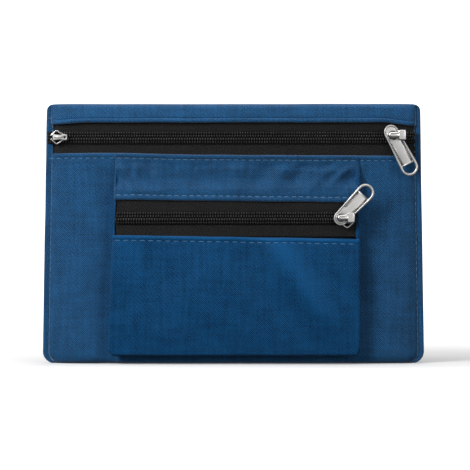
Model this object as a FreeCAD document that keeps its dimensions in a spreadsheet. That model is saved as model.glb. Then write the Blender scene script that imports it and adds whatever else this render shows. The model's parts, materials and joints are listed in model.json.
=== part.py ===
import FreeCAD, Part
import math
import operator
import os
import Sketcher

# Travel document organizer: a flat fabric pouch that stands on its base.
# X runs along the width, the front faces -Y, +Z is up, and the origin is the
# middle of the base. All sizes are millimetres, all angles degrees.

DIMENSIONS = [
    # pouch
    ("bottom_width", 219.0),
    ("top_width", 213.0),
    ("pouch_height", 148.0),
    ("base_depth", 18.0),
    ("top_depth", 6.0),
    ("fabric", 1.0),
    ("lining", 0.4),
    ("gap", 0.1),
    ("edge_width", 4.5),
    ("edge_thick", 1.8),
    ("edge_corner", 7.0),
    ("edge_top_corner", 3.6),
    ("edge_lift", 0.5),
    ("side_slope", 8.8),
    ("slope_height", 162.8),
    ("side_thick", 1.3),
    ("side_inset", 0.6),
    ("base_tip_inset", 6.8),
    ("base_tip_half", 1.5),
    ("band_bottom", 137.9),
    ("front_top", 120.2),
    # zip chain, the same in both zips
    ("tape_thick", 0.6),
    ("tape_width", 11.0),
    ("coil_width", 2.6),
    ("coil_thick", 2.0),
    ("coil_slit", 1.0),
    ("stop_length", 1.3),
    ("stop_thick", 1.6),
    # where the two zips run
    ("main_zip_level", 129.2),
    ("main_tape_half", 99.3),
    ("main_coil_half", 104.5),
    ("pocket_zip_level", 83.5),
    ("pocket_zip_left", -66.8),
    ("pocket_zip_right", 70.6),
    # front pocket
    ("pocket_rise", 6.0),
    ("pocket_left_top", -67.2),
    ("pocket_left_bottom", -71.7),
    ("pocket_right_top", 71.8),
    ("pocket_right_bottom", 72.4),
    ("pocket_top", 117.2),
    ("pocket_knee", 101.5),
    ("pocket_knee_rise", 3.3),
    ("pocket_shoulder", 95.2),
    ("pocket_zip_top", 92.7),
    ("pocket_zip_bottom", 72.2),
    ("pocket_corner", 4.4),
    ("pocket_corner_run", 2.6),
    ("pocket_bottom", 4.9),
    ("pleat_drop", 3.0),
    # sliders
    ("slider_length", 10.2),
    ("slider_width", 8.4),
    ("slider_tail_half", 2.6),
    ("slider_lobe_back", 3.7),
    ("slider_lobe_front", 2.6),
    ("slider_mouth_half", 2.1),
    ("plate_thick", 0.75),
    ("channel_play", 0.15),
    ("post_thick", 0.7),
    ("post_start", 1.6),
    ("post_length", 2.4),
    ("bridge_height", 4.3),
    ("bridge_radius", 1.85),
    ("bridge_thick", 1.5),
    ("bridge_raise", 1.2),
    ("post_radius", 1.0),
    ("post_inset", 1.1),
    ("leg_length", 0.7),
    ("leg_half", 0.7),
    ("nose_length", 4.0),
    ("nose_half", 2.9),
    ("left_bar_length", 7.0),
    ("left_bar_leg", 3.2),
    ("left_bar_half", 1.75),
    ("left_bar_lift", 0.7),
    ("left_bar_thick", 1.0),
    ("left_hole_radius", 0.6),
    ("left_hole_inset", 1.3),
    ("main_slider_place", 92.9),
    ("left_slider_place", -99.6),
    ("pocket_slider_place", 63.6),
    # pulls
    ("pull_thick", 1.3),
    ("pull_play", 0.2),
    ("eye_outer", 4.1),
    ("eye_inner", 2.7),
    ("eye_slot", 2.0),
    ("pull_end", 5.1),
    ("finger_hole", 3.5),
    ("finger_flat", 2.1),
    ("pull_rim", 1.2),
    ("pull_rounding", 0.35),
    ("panel_depth", 0.35),
    ("main_eye_up", 1.2),
    ("main_eye_side", 1.4),
    ("main_pull_reach", 21.2),
    ("main_pull_lean", 27.6),
    ("pocket_eye_up", -0.8),
    ("pocket_eye_side", 1.0),
    ("pocket_pull_reach", 20.7),
    ("pocket_pull_lean", 44.0),
]


class Size:
    """A number together with the spreadsheet formula that gives it."""

    def __init__(self, value, formula=None):
        self.value = value
        self.formula = formula if formula else repr(float(value))

    def joined(self, other, sign, operation, swap=False):
        other = other if isinstance(other, Size) else Size(other)
        first, second = (other, self) if swap else (self, other)
        value = operation(first.value, second.value)
        return Size(value, "(%s %s %s)" % (first.formula, sign, second.formula))

    def __add__(self, other):
        return self.joined(other, "+", operator.add)

    def __radd__(self, other):
        return self.joined(other, "+", operator.add, swap=True)

    def __sub__(self, other):
        return self.joined(other, "-", operator.sub)

    def __rsub__(self, other):
        return self.joined(other, "-", operator.sub, swap=True)

    def __mul__(self, other):
        return self.joined(other, "*", operator.mul)

    def __rmul__(self, other):
        return self.joined(other, "*", operator.mul, swap=True)

    def __truediv__(self, other):
        return self.joined(other, "/", operator.truediv)

    def __neg__(self):
        return self.joined(-1, "*", operator.mul)


def fill_sheet(doc):
    """Put the driving dimensions in the spreadsheet, and return them by name."""
    sheet = doc.addObject("Spreadsheet::Sheet", "Dimensions")
    sizes = {}
    for row, (name, value) in enumerate(DIMENSIONS, start=1):
        sheet.set("A%d" % row, name)
        sheet.set("B%d" % row, str(value))
        sheet.setAlias("B%d" % row, name)
        sizes[name] = Size(value, "Dimensions.%s" % name)
    return sizes


doc = FreeCAD.newDocument("TravelDocumentOrganizer")
D = fill_sheet(doc)
doc.recompute()

# Planes and levels that several pieces share, as y (depth) and z (height).
front_face = D["base_depth"] / -2
back_base = D["base_depth"] / 2
panel_back = front_face + D["fabric"]
tape_front = panel_back + D["gap"]
taper = (D["base_depth"] - D["top_depth"]) / D["pouch_height"]
narrowing = (D["bottom_width"] - D["top_width"]) / D["pouch_height"] / 2
pocket_face = front_face - D["pocket_rise"]
panel_start = D["fabric"] + D["gap"] / 2
coil_half = D["coil_slit"] / 2 + D["coil_width"]


def half_width(level):
    """Half the pouch's width at a height."""
    return D["bottom_width"] / 2 - narrowing * level


def back_face(level):
    """Depth of the back panel's outer face at a height."""
    return back_base - taper * level


def flat_half(level):
    """Half the width of a panel's flat face; its sides slope over less width higher up."""
    slope = D["side_slope"] * (1 - level / D["slope_height"])
    return half_width(level) - D["edge_width"] - slope


def root(size):
    """Square root of a size."""
    return Size(math.sqrt(size.value), "sqrt(%s)" % size.formula)


def seam_plane(level):
    """Depth of the side seam, midway between front and back, at a height."""
    return taper * level / -2


# ---------------------------------------------------------------- helpers


def bind(item, prop, size):
    """Bind one property to a spreadsheet formula."""
    item.setExpression(prop, size.formula)


def place(item, x=None, y=None, z=None):
    """Bind a piece's position; what is left out stays at zero."""
    for axis, size in (("x", x), ("y", y), ("z", z)):
        if size is not None:
            bind(item, "Placement.Base.%s" % axis, size)


def block(name, low, high):
    """A Part::Box between two corners."""
    box = doc.addObject("Part::Box", name)
    spans = [b - a for a, b in zip(low, high)]
    for prop, span in zip(("Length", "Width", "Height"), spans):
        bind(box, prop, span)
    place(box, *low)
    return box


def rod(name, low, length, radius):
    """A Part::Cylinder along +X from the centre of its low end."""
    cylinder = doc.addObject("Part::Cylinder", name)
    bind(cylinder, "Height", length)
    bind(cylinder, "Radius", radius)
    turned = FreeCAD.Rotation(FreeCAD.Vector(0, 1, 0), 90)
    cylinder.Placement = FreeCAD.Placement(FreeCAD.Vector(0, 0, 0), turned)
    place(cylinder, *low)
    return cylinder


def combine(kind, name, pieces):
    """A Part::MultiFuse or Part::MultiCommon of some pieces."""
    result = doc.addObject(kind, name)
    result.Shapes = pieces
    return result


def new_body(name):
    return doc.addObject("PartDesign::Body", name)


def new_sketch(body, plane, name, offset=None):
    """A sketch on one of the body's own origin planes, moved along its normal."""
    support = [f for f in body.Origin.OriginFeatures if f.Role == plane][0]
    sketch = body.newObject("Sketcher::SketchObject", name)
    sketch.AttachmentSupport = (support, [""])
    sketch.MapMode = "FlatFace"
    if offset is not None:
        bind(sketch, "AttachmentOffset.Base.z", offset)
    return sketch


def pin_point(sketch, edge, end, corner):
    """Tie one end of a sketch edge to a corner whose two sizes are bound."""
    for kind, size in zip(("DistanceX", "DistanceY"), corner):
        rule = Sketcher.Constraint(kind, -1, 1, edge, end, size.value)
        index = sketch.addConstraint(rule)
        bind(sketch, "Constraints[%d]" % index, size)


def draw_polygon(sketch, corners):
    """A closed polygon, each corner bound to the sheet."""
    corners = [[c if isinstance(c, Size) else Size(c) for c in corner] for corner in corners]
    first = sketch.GeometryCount
    count = len(corners)
    points = [FreeCAD.Vector(x.value, y.value, 0) for x, y in corners]
    for index in range(count):
        sketch.addGeometry(Part.LineSegment(points[index], points[(index + 1) % count]))
    for index in range(count):
        after = first + (index + 1) % count
        sketch.addConstraint(Sketcher.Constraint("Coincident", first + index, 2, after, 1))
        pin_point(sketch, first + index, 1, corners[index])


def arc_centre(start, end, radius):
    """Centre of an arc on the left of the line from start to end, or the right if radius < 0."""
    half = (end - start) * 0.5
    reach = math.sqrt(radius * radius - half.Length ** 2)
    left = FreeCAD.Vector(-half.y, half.x, 0).normalize()
    return start + half + left * math.copysign(reach, radius)


def draw_outline(sketch, corners):
    """A closed outline, anticlockwise; a corner's third value is the radius of the arc after it.

    An arc whose radius is negative bulges inwards.
    """
    first = sketch.GeometryCount
    count = len(corners)
    points = [FreeCAD.Vector(corner[0].value, corner[1].value, 0) for corner in corners]
    ends = []
    for index, corner in enumerate(corners):
        start = points[index]
        end = points[(index + 1) % count]
        if len(corner) == 2:
            sketch.addGeometry(Part.LineSegment(start, end))
            ends.append((1, 2))
            continue
        radius = corner[2]
        centre = arc_centre(start, end, radius.value)
        circle = Part.Circle(centre, FreeCAD.Vector(0, 0, 1), abs(radius.value))
        angles = [math.atan2(p.y - centre.y, p.x - centre.x) for p in (start, end)]
        forward = radius.value > 0
        sketch.addGeometry(Part.ArcOfCircle(circle, *(angles if forward else angles[::-1])))
        ends.append((1, 2) if forward else (2, 1))
    for index, corner in enumerate(corners):
        after = (index + 1) % count
        sketch.addConstraint(Sketcher.Constraint("Coincident", first + index, ends[index][1],
                                                 first + after, ends[after][0]))
        pin_point(sketch, first + index, ends[index][0], corner)
        if len(corner) == 3:
            size = corner[2] if corner[2].value > 0 else -corner[2]
            rule = Sketcher.Constraint("Radius", first + index, size.value)
            bind(sketch, "Constraints[%d]" % sketch.addConstraint(rule), size)


def mirrored(corners):
    """The same outline on the other side of x = 0, still anticlockwise."""
    before = corners[-1:] + corners[:-1]
    pairs = list(zip(corners, before))
    return [(-corner[0], corner[1]) + tuple(last[2:]) for corner, last in reversed(pairs)]


def draw_capsule(sketch, low, low_radius, high, high_radius):
    """Two round ends one above the other, joined by two tangent lines."""
    low = [c if isinstance(c, Size) else Size(c) for c in low]
    high = [c if isinstance(c, Size) else Size(c) for c in high]
    first = sketch.GeometryCount
    span = high[1].value - low[1].value
    tilt = math.asin((low_radius.value - high_radius.value) / span)
    bottom = FreeCAD.Vector(low[0].value, low[1].value, 0)
    top = FreeCAD.Vector(high[0].value, high[1].value, 0)
    up = FreeCAD.Vector(0, 0, 1)
    high_circle = Part.Circle(top, up, high_radius.value)
    low_circle = Part.Circle(bottom, up, low_radius.value)
    sketch.addGeometry(Part.ArcOfCircle(high_circle, tilt, math.pi - tilt))
    sketch.addGeometry(Part.ArcOfCircle(low_circle, math.pi - tilt, 2 * math.pi + tilt))
    left = FreeCAD.Vector(-math.cos(tilt), math.sin(tilt), 0)
    right = FreeCAD.Vector(math.cos(tilt), math.sin(tilt), 0)
    sketch.addGeometry(Part.LineSegment(top + left * high_radius.value,
                                        bottom + left * low_radius.value))
    sketch.addGeometry(Part.LineSegment(bottom + right * low_radius.value,
                                        top + right * high_radius.value))
    high_arc, low_arc, left_line, right_line = range(first, first + 4)
    joins = [(high_arc, 2, left_line, 1), (left_line, 2, low_arc, 1),
             (low_arc, 2, right_line, 1), (right_line, 2, high_arc, 1)]
    for join in joins:
        sketch.addConstraint(Sketcher.Constraint("Tangent", *join))
    for arc, centre, radius in ((high_arc, high, high_radius), (low_arc, low, low_radius)):
        pin_point(sketch, arc, 3, centre)
        index = sketch.addConstraint(Sketcher.Constraint("Radius", arc, radius.value))
        bind(sketch, "Constraints[%d]" % index, radius)


def pad(body, sketch, length, name="Pad"):
    """Pad a sketch along its plane's normal."""
    feature = body.newObject("PartDesign::Pad", name)
    feature.Profile = sketch
    bind(feature, "Length", length)
    return feature


def slab(name, corners, back, front, draw=draw_polygon):
    """A sheet piece: an outline in X and Z, filled from depth back to depth front."""
    body = new_body(name)
    sketch = new_sketch(body, "XZ_Plane", name + "_outline", -back)
    draw(sketch, corners)
    pad(body, sketch, back - front)
    return body


def strip(name, corners, left, right):
    """A piece of one section in Y and Z, run along X from left to right."""
    body = new_body(name)
    sketch = new_sketch(body, "YZ_Plane", name + "_section", left)
    draw_polygon(sketch, corners)
    pad(body, sketch, right - left)
    return body


# ---------------------------------------------------------------- pouch


def tray(name, low_level, high_level, face, inward):
    """Front or back panel: a flat face whose two sides run back to the side seams."""

    def section(level):
        seam = seam_plane(level) - inward * D["gap"] / 2
        outer = half_width(level) - D["edge_width"] - D["gap"]
        flat = flat_half(level)
        shallow = face(level) + inward * D["fabric"]
        return [(-outer, seam), (-flat, face(level)), (flat, face(level)), (outer, seam),
                (outer - D["side_thick"], seam), (flat - D["side_inset"], shallow),
                (-flat + D["side_inset"], shallow), (-outer + D["side_thick"], seam)]

    body = new_body(name)
    ends = []
    for label, level in (("low", low_level), ("high", high_level)):
        sketch = new_sketch(body, "XY_Plane", "%s_%s" % (name, label), level)
        draw_polygon(sketch, section(level))
        ends.append(sketch)
    loft = body.newObject("PartDesign::AdditiveLoft", name + "_loft")
    loft.Profile = ends[0]
    loft.Sections = [(ends[1], [""])]
    loft.Ruled = True
    return body


def front_panel():
    return tray("front_panel", panel_start, D["front_top"], lambda level: front_face, 1)


def back_panel():
    return tray("back_panel", panel_start, D["band_bottom"] - D["gap"], back_face, -1)


def bottom_panel():
    """Narrow base strip that the pouch stands on, pointed towards both side seams."""
    body = new_body("bottom_panel")
    sketch = new_sketch(body, "XY_Plane", "bottom_panel_outline")
    flat = flat_half(Size(0))
    tip = half_width(0) - D["base_tip_inset"]
    nose = D["base_tip_half"]
    draw_polygon(sketch, [(-tip, -nose), (-flat, front_face), (flat, front_face), (tip, -nose),
                          (tip, nose), (flat, back_base), (-flat, back_base), (-tip, nose)])
    pad(body, sketch, D["fabric"])
    return body


def top_band():
    """Header strip folded over the top: front leg, round fold and back leg."""
    top = D["pouch_height"]
    radius = D["top_depth"] / 2
    centre_y = front_face + radius
    centre_z = top - radius
    half = half_width(top) - D["edge_width"] - D["gap"]
    body = new_body("top_band")
    sketch = new_sketch(body, "YZ_Plane", "top_band_section", -half)
    low = D["band_bottom"]
    back_low = back_face(low)
    inner = radius - D["fabric"]
    corners = [(front_face, low), (panel_back, low), (centre_y - inner, centre_z, -inner),
               (centre_y, centre_z + inner, -inner), (centre_y + inner, centre_z),
               (back_low - D["fabric"], low), (back_low, low), (centre_y + radius, centre_z, radius),
               (centre_y, top, radius), (centre_y - radius, centre_z)]
    draw_outline(sketch, corners)
    pad(body, sketch, half * 2)
    return body


def edge_binding(name, side):
    """Folded and stitched side seam: a flat strip that leans with the seam plane."""
    low = D["edge_lift"]
    top = D["pouch_height"]
    width = D["edge_width"]
    corner = D["edge_corner"]
    top_corner = D["edge_top_corner"]
    dip = corner - root(corner * corner - (corner - width) * (corner - width))
    corners = [(half_width(low) - width, low + dip, corner),
               (half_width(low + corner), low + corner),
               (half_width(top - top_corner), top - top_corner, top_corner),
               (half_width(top) - top_corner, top), (half_width(top) - width, top)]
    if side < 0:
        corners = mirrored(corners)
    body = slab(name, corners, D["edge_thick"] / 2, D["edge_thick"] / -2, draw_outline)
    body.Placement.Rotation = FreeCAD.Rotation(FreeCAD.Vector(1, 0, 0), 1)
    bind(body, "Placement.Rotation.Angle", Size(0, "atan(%s)" % (taper / 2).formula))
    return body


def lining_corners(low, high):
    inset = D["edge_width"] + D["side_slope"] + D["fabric"] * 2
    low_half = half_width(low) - inset
    high_half = half_width(high) - inset
    return [(-low_half, low), (low_half, low), (high_half, high), (-high_half, high)]


def front_lining():
    corners = lining_corners(D["fabric"] * 2, D["main_zip_level"] - D["tape_width"] - D["coil_slit"])
    return slab("front_lining", corners, tape_front + D["lining"], tape_front)


def back_lining():
    """Lies against the back panel, so it leans with it."""
    corners = lining_corners(D["fabric"] * 2, D["band_bottom"] - D["fabric"])
    inside = -D["fabric"] - D["gap"] * 2
    body = slab("back_lining", corners, inside, inside - D["lining"])
    body.Placement.Rotation = FreeCAD.Rotation(FreeCAD.Vector(1, 0, 0), 1)
    bind(body, "Placement.Rotation.Angle", Size(0, "atan(%s)" % taper.formula))
    place(body, y=back_base)
    return body


# ---------------------------------------------------------------- pocket


def pocket_upper_panel():
    """Slopes out from the seam under the main zip to the pocket zip."""
    skin = D["fabric"]
    start = front_face - D["gap"]
    knee = front_face - D["pocket_knee_rise"]
    section = [(start - skin, D["pocket_top"]), (knee, D["pocket_knee"]),
               (pocket_face, D["pocket_shoulder"]), (pocket_face, D["pocket_zip_top"]),
               (pocket_face + skin, D["pocket_zip_top"]),
               (pocket_face + skin, D["pocket_shoulder"]),
               (knee + skin, D["pocket_knee"]), (start, D["pocket_top"])]
    return strip("pocket_upper_panel", section, D["pocket_left_top"], D["pocket_right_top"])


def pocket_side_x(level, side):
    """Where the pocket's left (-1) or right (1) fold stands at a height."""
    word = "left" if side < 0 else "right"
    top = D["pocket_%s_top" % word]
    bottom = D["pocket_%s_bottom" % word]
    return bottom + (top - bottom) * level / D["pocket_top"]


def pocket_lower_panel():
    low = D["pocket_bottom"]
    cut = D["pocket_corner"]
    top = D["pocket_zip_bottom"]
    left = pocket_side_x(low, -1)
    right = pocket_side_x(low, 1)
    run = D["pocket_corner_run"]
    corners = [(left + run, low), (right - run, low), (right, low + cut),
               (pocket_side_x(top, 1), top), (pocket_side_x(top, -1), top), (left, low + cut)]
    return slab("pocket_lower_panel", corners, pocket_face + D["fabric"], pocket_face)


def pocket_pleat(name, side):
    """Folded side wall that joins the pocket front to the front panel."""
    skin = D["fabric"]
    behind = pocket_face + skin + D["gap"]
    against = front_face - D["gap"]
    knee = front_face - D["pocket_knee_rise"] + skin + D["gap"]
    low = D["pocket_bottom"] + D["pocket_corner"]
    section = [(against, low), (against, D["pocket_top"] - D["pleat_drop"]),
               (knee, D["pocket_knee"] - skin), (behind, D["pocket_shoulder"] - skin), (behind, low)]
    place_x = D["pocket_left_bottom"] if side < 0 else D["pocket_right_bottom"] - skin
    body = strip(name, section, Size(0), skin)
    body.Placement.Rotation = FreeCAD.Rotation(FreeCAD.Vector(0, 1, 0), 1)
    word = "left" if side < 0 else "right"
    run = (D["pocket_%s_top" % word] - D["pocket_%s_bottom" % word]) / D["pocket_top"]
    bind(body, "Placement.Rotation.Angle", Size(0, "atan(%s)" % run.formula))
    place(body, x=place_x)
    return body


def pocket_bottom_pleat():
    """Folded floor of the pocket."""
    low = D["pocket_bottom"]
    inset = D["pocket_corner_run"]
    left = D["pocket_left_bottom"] + inset
    right = D["pocket_right_bottom"] - inset
    behind = pocket_face + D["fabric"] + D["gap"]
    return block("pocket_bottom_pleat", (left, behind, low),
                 (right, front_face - D["gap"], low + D["fabric"]))


# ---------------------------------------------------------------- zips


def tape(name, level, side, left, right, front):
    """One woven tape: side is 1 above the zip's middle and -1 below it."""
    near = level + side * D["coil_slit"] / 2
    far = level + side * D["tape_width"]
    low, high = (near, far) if side > 0 else (far, near)
    return block(name, (left, front, low), (right, front + D["tape_thick"], high))


def coil(name, level, side, left, right, front):
    """One row of coil elements, as the rounded rod that they fill."""
    body = new_body(name)
    sketch = new_sketch(body, "YZ_Plane", name + "_section", left)
    radius = D["coil_thick"] / 2
    near = level + side * (D["coil_slit"] / 2 + radius)
    far = level + side * (coil_half - radius)
    low, high = (near, far) if side > 0 else (far, near)
    depth = front - radius
    draw_capsule(sketch, (depth, low), radius, (depth, high), radius)
    pad(body, sketch, right - left)
    return body


def zip_chain(prefix, level, tape_ends, coil_ends, front):
    """The four fixed pieces of a zip: two tapes and two coils, each from left to right."""
    pieces = []
    for word, side in (("upper", 1), ("lower", -1)):
        pieces.append(tape("%s_%s_tape" % (prefix, word), level, side, *tape_ends, front))
        pieces.append(coil("%s_%s_coil" % (prefix, word), level, side, *coil_ends, front))
    return pieces


def zip_stops(name, level, at, front):
    """Two crimped metal stops, one past the end of each coil."""
    radius = D["coil_slit"] / 2
    stops = []
    for side in (1, -1):
        near = level + side * radius
        far = level + side * coil_half
        low, high = (near, far) if side > 0 else (far, near)
        stops.append(block("%s_%d" % (name, len(stops)), (at, front - D["stop_thick"], low),
                           (at + D["stop_length"], front, high)))
    group = doc.addObject("Part::Compound", name)
    group.Links = stops
    return group


# ---------------------------------------------------------------- sliders

# Slider frame: x runs towards the mouth, y is depth from the tape's front face,
# z is height from the middle of the zip.
plate_back = -D["coil_thick"] - D["channel_play"]
plate_front = plate_back - D["plate_thick"]
under_front = D["tape_thick"] + D["channel_play"]
bar_back = plate_front - D["bridge_height"] + D["bridge_thick"] / 2
pull_front = bar_back + D["pull_play"]


def slider_body(name, mouth, level, at, front):
    """The casting: front plate, back plate, the post between them and two side rails."""
    length = D["slider_length"] / 2
    width = D["slider_width"] / 2
    rail_gap = D["channel_play"] * 2
    rail = width - coil_half - rail_gap
    lobe_back = -D["slider_lobe_back"]
    lobe_front = D["slider_lobe_front"]
    tail = D["slider_tail_half"]
    mouth_half = D["slider_mouth_half"]
    outline = [(-length, -tail), (lobe_back, -width), (lobe_front, -width), (length, -mouth_half),
               (length, mouth_half), (lobe_front, width), (lobe_back, width), (-length, tail)]
    body = new_body(name)
    for part, back, thick in (("front", plate_back, D["plate_thick"]),
                              ("post", under_front, under_front - plate_back),
                              ("back", under_front + D["plate_thick"], D["plate_thick"])):
        sketch = new_sketch(body, "XZ_Plane", "%s_%s" % (name, part), -back)
        if part == "post":
            start = D["post_start"]
            high = D["post_thick"] / 2
            corners = [(start, -high), (start + D["post_length"], -high),
                       (start + D["post_length"], high), (start, high)]
        else:
            corners = outline
        draw_polygon(sketch, [(x * mouth, z) for x, z in corners])
        pad(body, sketch, thick, part.capitalize())
    sketch = new_sketch(body, "XZ_Plane", name + "_rails", rail_gap)
    for side in (1, -1):
        far = side * width
        near = side * (width - rail)
        corners = [(lobe_back, near), (lobe_front, near), (lobe_front, far), (lobe_back, far)]
        draw_polygon(sketch, [(x * mouth, z) for x, z in corners])
    pad(body, sketch, -plate_back - rail_gap, "Rails")
    place(body, at, front, level)
    return body


def slider_bridge(name, level, at, front):
    """The arch over the front plate: a bar on a round post and a front leg, with a wide nose.

    The pull's eye swings round the post.
    """
    rear = at - D["slider_length"] / 2
    ahead = at + D["slider_length"] / 2
    plate_y = front + plate_front
    bar_y = front + bar_back
    face_y = bar_y - D["bridge_thick"]
    radius = D["bridge_radius"]
    post = doc.addObject("Part::Cylinder", name + "_post")
    post.Placement = FreeCAD.Placement(FreeCAD.Vector(), FreeCAD.Rotation(FreeCAD.Vector(1, 0, 0), 90))
    bind(post, "Radius", D["post_radius"])
    bind(post, "Height", plate_y - bar_y)
    place(post, rear + D["post_inset"], plate_y, level)
    core = rod(name + "_core", (rear, bar_y - D["bridge_thick"] / 2, level), ahead - rear, radius)
    limit = block(name + "_limit", (rear, face_y, level - radius), (ahead, bar_y, level + radius))
    bar = combine("Part::MultiCommon", name + "_bar", [core, limit])
    leg = block(name + "_leg", (ahead - D["leg_length"], bar_y, level - D["leg_half"]),
                (ahead, plate_y, level + D["leg_half"]))
    nose = block(name + "_nose", (ahead - D["nose_length"], face_y, level - D["nose_half"]),
                 (ahead, bar_y, level + D["nose_half"]))
    return combine("Part::MultiFuse", name, [bar, post, leg, nose])


def left_slider_bridge(name, level, at, front):
    """Low bridge of the slider with no pull: a flat bar with a small hole in its end."""
    end = at + D["slider_length"] / 2
    start = end - D["left_bar_length"]
    plate_y = front + plate_front
    under = plate_y - D["left_bar_lift"]
    face_y = under - D["left_bar_thick"]
    half = D["left_bar_half"]
    leg_half = D["leg_half"]
    bar = block(name + "_bar", (start, face_y, level - half), (end, under, level + half))
    legs = [block("%s_leg_%d" % (name, index), (x, under, level - leg_half),
                  (x + D["leg_length"], plate_y, level + leg_half))
            for index, x in enumerate((start, end - D["left_bar_leg"]))]
    solid = combine("Part::MultiFuse", name + "_solid", [bar] + legs)
    hole = doc.addObject("Part::Cylinder", name + "_hole")
    hole.Placement = FreeCAD.Placement(FreeCAD.Vector(), FreeCAD.Rotation(FreeCAD.Vector(1, 0, 0), 90))
    bind(hole, "Radius", D["left_hole_radius"])
    bind(hole, "Height", D["left_bar_lift"] + D["left_bar_thick"] * 2)
    place(hole, end - D["left_hole_inset"], plate_y, level)
    cut = doc.addObject("Part::Cut", name)
    cut.Base = solid
    cut.Tool = hole
    return cut


def pull(word, at, front, level, down):
    """Cast pull tab: an eye round the bridge's post, a sunk panel and a finger hole.

    It is drawn hanging straight down from the post and then turned to its lean.
    """
    name = word + "_pull"
    body = new_body(name)
    lean = D[word + "_pull_lean"]
    low = -D[word + "_pull_reach"]
    eye_z = D[word + "_eye_up"]
    eye_x = D[word + "_eye_side"] if down else -D[word + "_eye_side"]
    outline = new_sketch(body, "XZ_Plane", name + "_outline")
    draw_capsule(outline, (eye_x, low), D["pull_end"], (eye_x, eye_z), D["eye_outer"])
    solid = pad(body, outline, D["pull_thick"])
    doc.recompute()
    rounding = body.newObject("PartDesign::Fillet", "Rounding")
    rounding.Base = (solid, [""])
    rounding.UseAllEdges = True
    bind(rounding, "Radius", D["pull_rounding"])

    eye = new_sketch(body, "XZ_Plane", name + "_eye", D["pull_thick"])
    draw_capsule(eye, (eye_x, eye_z - D["eye_slot"]), D["eye_inner"], (eye_x, eye_z), D["eye_inner"])
    cut_from_front(body, eye, D["pull_thick"], "Eye")

    hole = new_sketch(body, "XZ_Plane", name + "_finger_hole", D["pull_thick"])
    draw_finger_hole(hole, eye_x, low, D["finger_hole"], D["finger_flat"])
    cut_from_front(body, hole, D["pull_thick"], "FingerHole")

    rim = D["pull_rim"]
    panel = new_sketch(body, "XZ_Plane", name + "_panel", D["pull_thick"])
    panel_top = eye_z - D["eye_slot"] - D["eye_inner"] - rim
    panel_low = low + D["finger_flat"] + rim
    top_half = D["eye_outer"] - rim
    low_half = D["pull_end"] - rim
    draw_polygon(panel, [(eye_x - top_half, panel_top), (eye_x + top_half, panel_top),
                         (eye_x + low_half, panel_low), (eye_x - low_half, panel_low)])
    cut_from_front(body, panel, D["panel_depth"], "Panel")

    angle = -1 * lean if down else 180 + lean
    body.Placement.Rotation = FreeCAD.Rotation(FreeCAD.Vector(0, 1, 0), 1)
    bind(body, "Placement.Rotation.Angle", angle)
    post_x = at - D["slider_length"] / 2 + D["post_inset"]
    place(body, post_x, front + pull_front + D["pull_thick"], level)
    return body


def draw_finger_hole(sketch, x, z, radius, flat):
    """Round hole whose upper side is straight, at a height of flat over its centre."""
    across = math.sqrt(radius.value ** 2 - flat.value ** 2)
    centre = FreeCAD.Vector(x.value, z.value, 0)
    circle = Part.Circle(centre, FreeCAD.Vector(0, 0, 1), radius.value)
    rise = math.asin(flat.value / radius.value)
    sketch.addGeometry(Part.ArcOfCircle(circle, math.pi - rise, 2 * math.pi + rise))
    left = centre + FreeCAD.Vector(-across, flat.value, 0)
    right = centre + FreeCAD.Vector(across, flat.value, 0)
    sketch.addGeometry(Part.LineSegment(right, left))
    sketch.addConstraint(Sketcher.Constraint("Coincident", 0, 2, 1, 1))
    sketch.addConstraint(Sketcher.Constraint("Coincident", 1, 2, 0, 1))
    sketch.addConstraint(Sketcher.Constraint("Horizontal", 1))
    pin_point(sketch, 0, 3, (x, z))
    index = sketch.addConstraint(Sketcher.Constraint("Radius", 0, radius.value))
    bind(sketch, "Constraints[%d]" % index, radius)
    index = sketch.addConstraint(Sketcher.Constraint("DistanceY", 0, 3, 1, 1, flat.value))
    bind(sketch, "Constraints[%d]" % index, flat)


def cut_from_front(body, sketch, depth, name):
    """Pocket inwards from a sketch on the front side, and prove that it cut."""
    doc.recompute()
    before = body.Shape.Volume
    feature = body.newObject("PartDesign::Pocket", name)
    feature.Profile = sketch
    bind(feature, "Length", depth)
    doc.recompute()
    if body.Shape.Volume > before - 1e-6:
        feature.Reversed = True
        doc.recompute()
    if body.Shape.Volume > before - 1e-6:
        raise RuntimeError("%s cut nothing" % sketch.Name)


# ---------------------------------------------------------------- assembly


def build_pouch():
    return [front_panel(), back_panel(), bottom_panel(), top_band(),
            edge_binding("left_edge_binding", -1), edge_binding("right_edge_binding", 1),
            front_lining(), back_lining()]


def build_pocket():
    return [pocket_upper_panel(), pocket_lower_panel(), pocket_bottom_pleat(),
            pocket_pleat("pocket_left_pleat", -1), pocket_pleat("pocket_right_pleat", 1)]


def build_zips(pocket_tape_front):
    tape_half = D["main_tape_half"]
    coil_left = -D["main_coil_half"]
    stop_start = D["main_coil_half"] - D["stop_length"]
    main = zip_chain("main_zip", D["main_zip_level"], (-tape_half, tape_half),
                     (coil_left, stop_start - D["gap"]), tape_front)
    pocket_ends = (D["pocket_zip_left"], D["pocket_zip_right"])
    pocket = zip_chain("pocket_zip", D["pocket_zip_level"], pocket_ends, pocket_ends,
                       pocket_tape_front)
    stops = zip_stops("main_zip_stops", D["main_zip_level"], stop_start, tape_front)
    return main + pocket + [stops]


def build_sliders(pocket_tape_front):
    pieces = []
    rows = [("main", D["main_slider_place"], D["main_zip_level"], tape_front),
            ("pocket", D["pocket_slider_place"], D["pocket_zip_level"], pocket_tape_front)]
    for word, at, level, front in rows:
        bridge_level = level + (D["bridge_raise"] if word == "main" else Size(0))
        pieces.append(slider_body(word + "_slider_body", 1, level, at, front))
        pieces.append(slider_bridge(word + "_slider_bridge", bridge_level, at, front))
        pieces.append(pull(word, at, front, bridge_level, word == "main"))
    left = D["left_slider_place"]
    pieces.append(slider_body("left_slider_body", -1, D["main_zip_level"], left, tape_front))
    pieces.append(left_slider_bridge("left_slider_bridge", D["main_zip_level"], left, tape_front))
    return pieces


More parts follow.
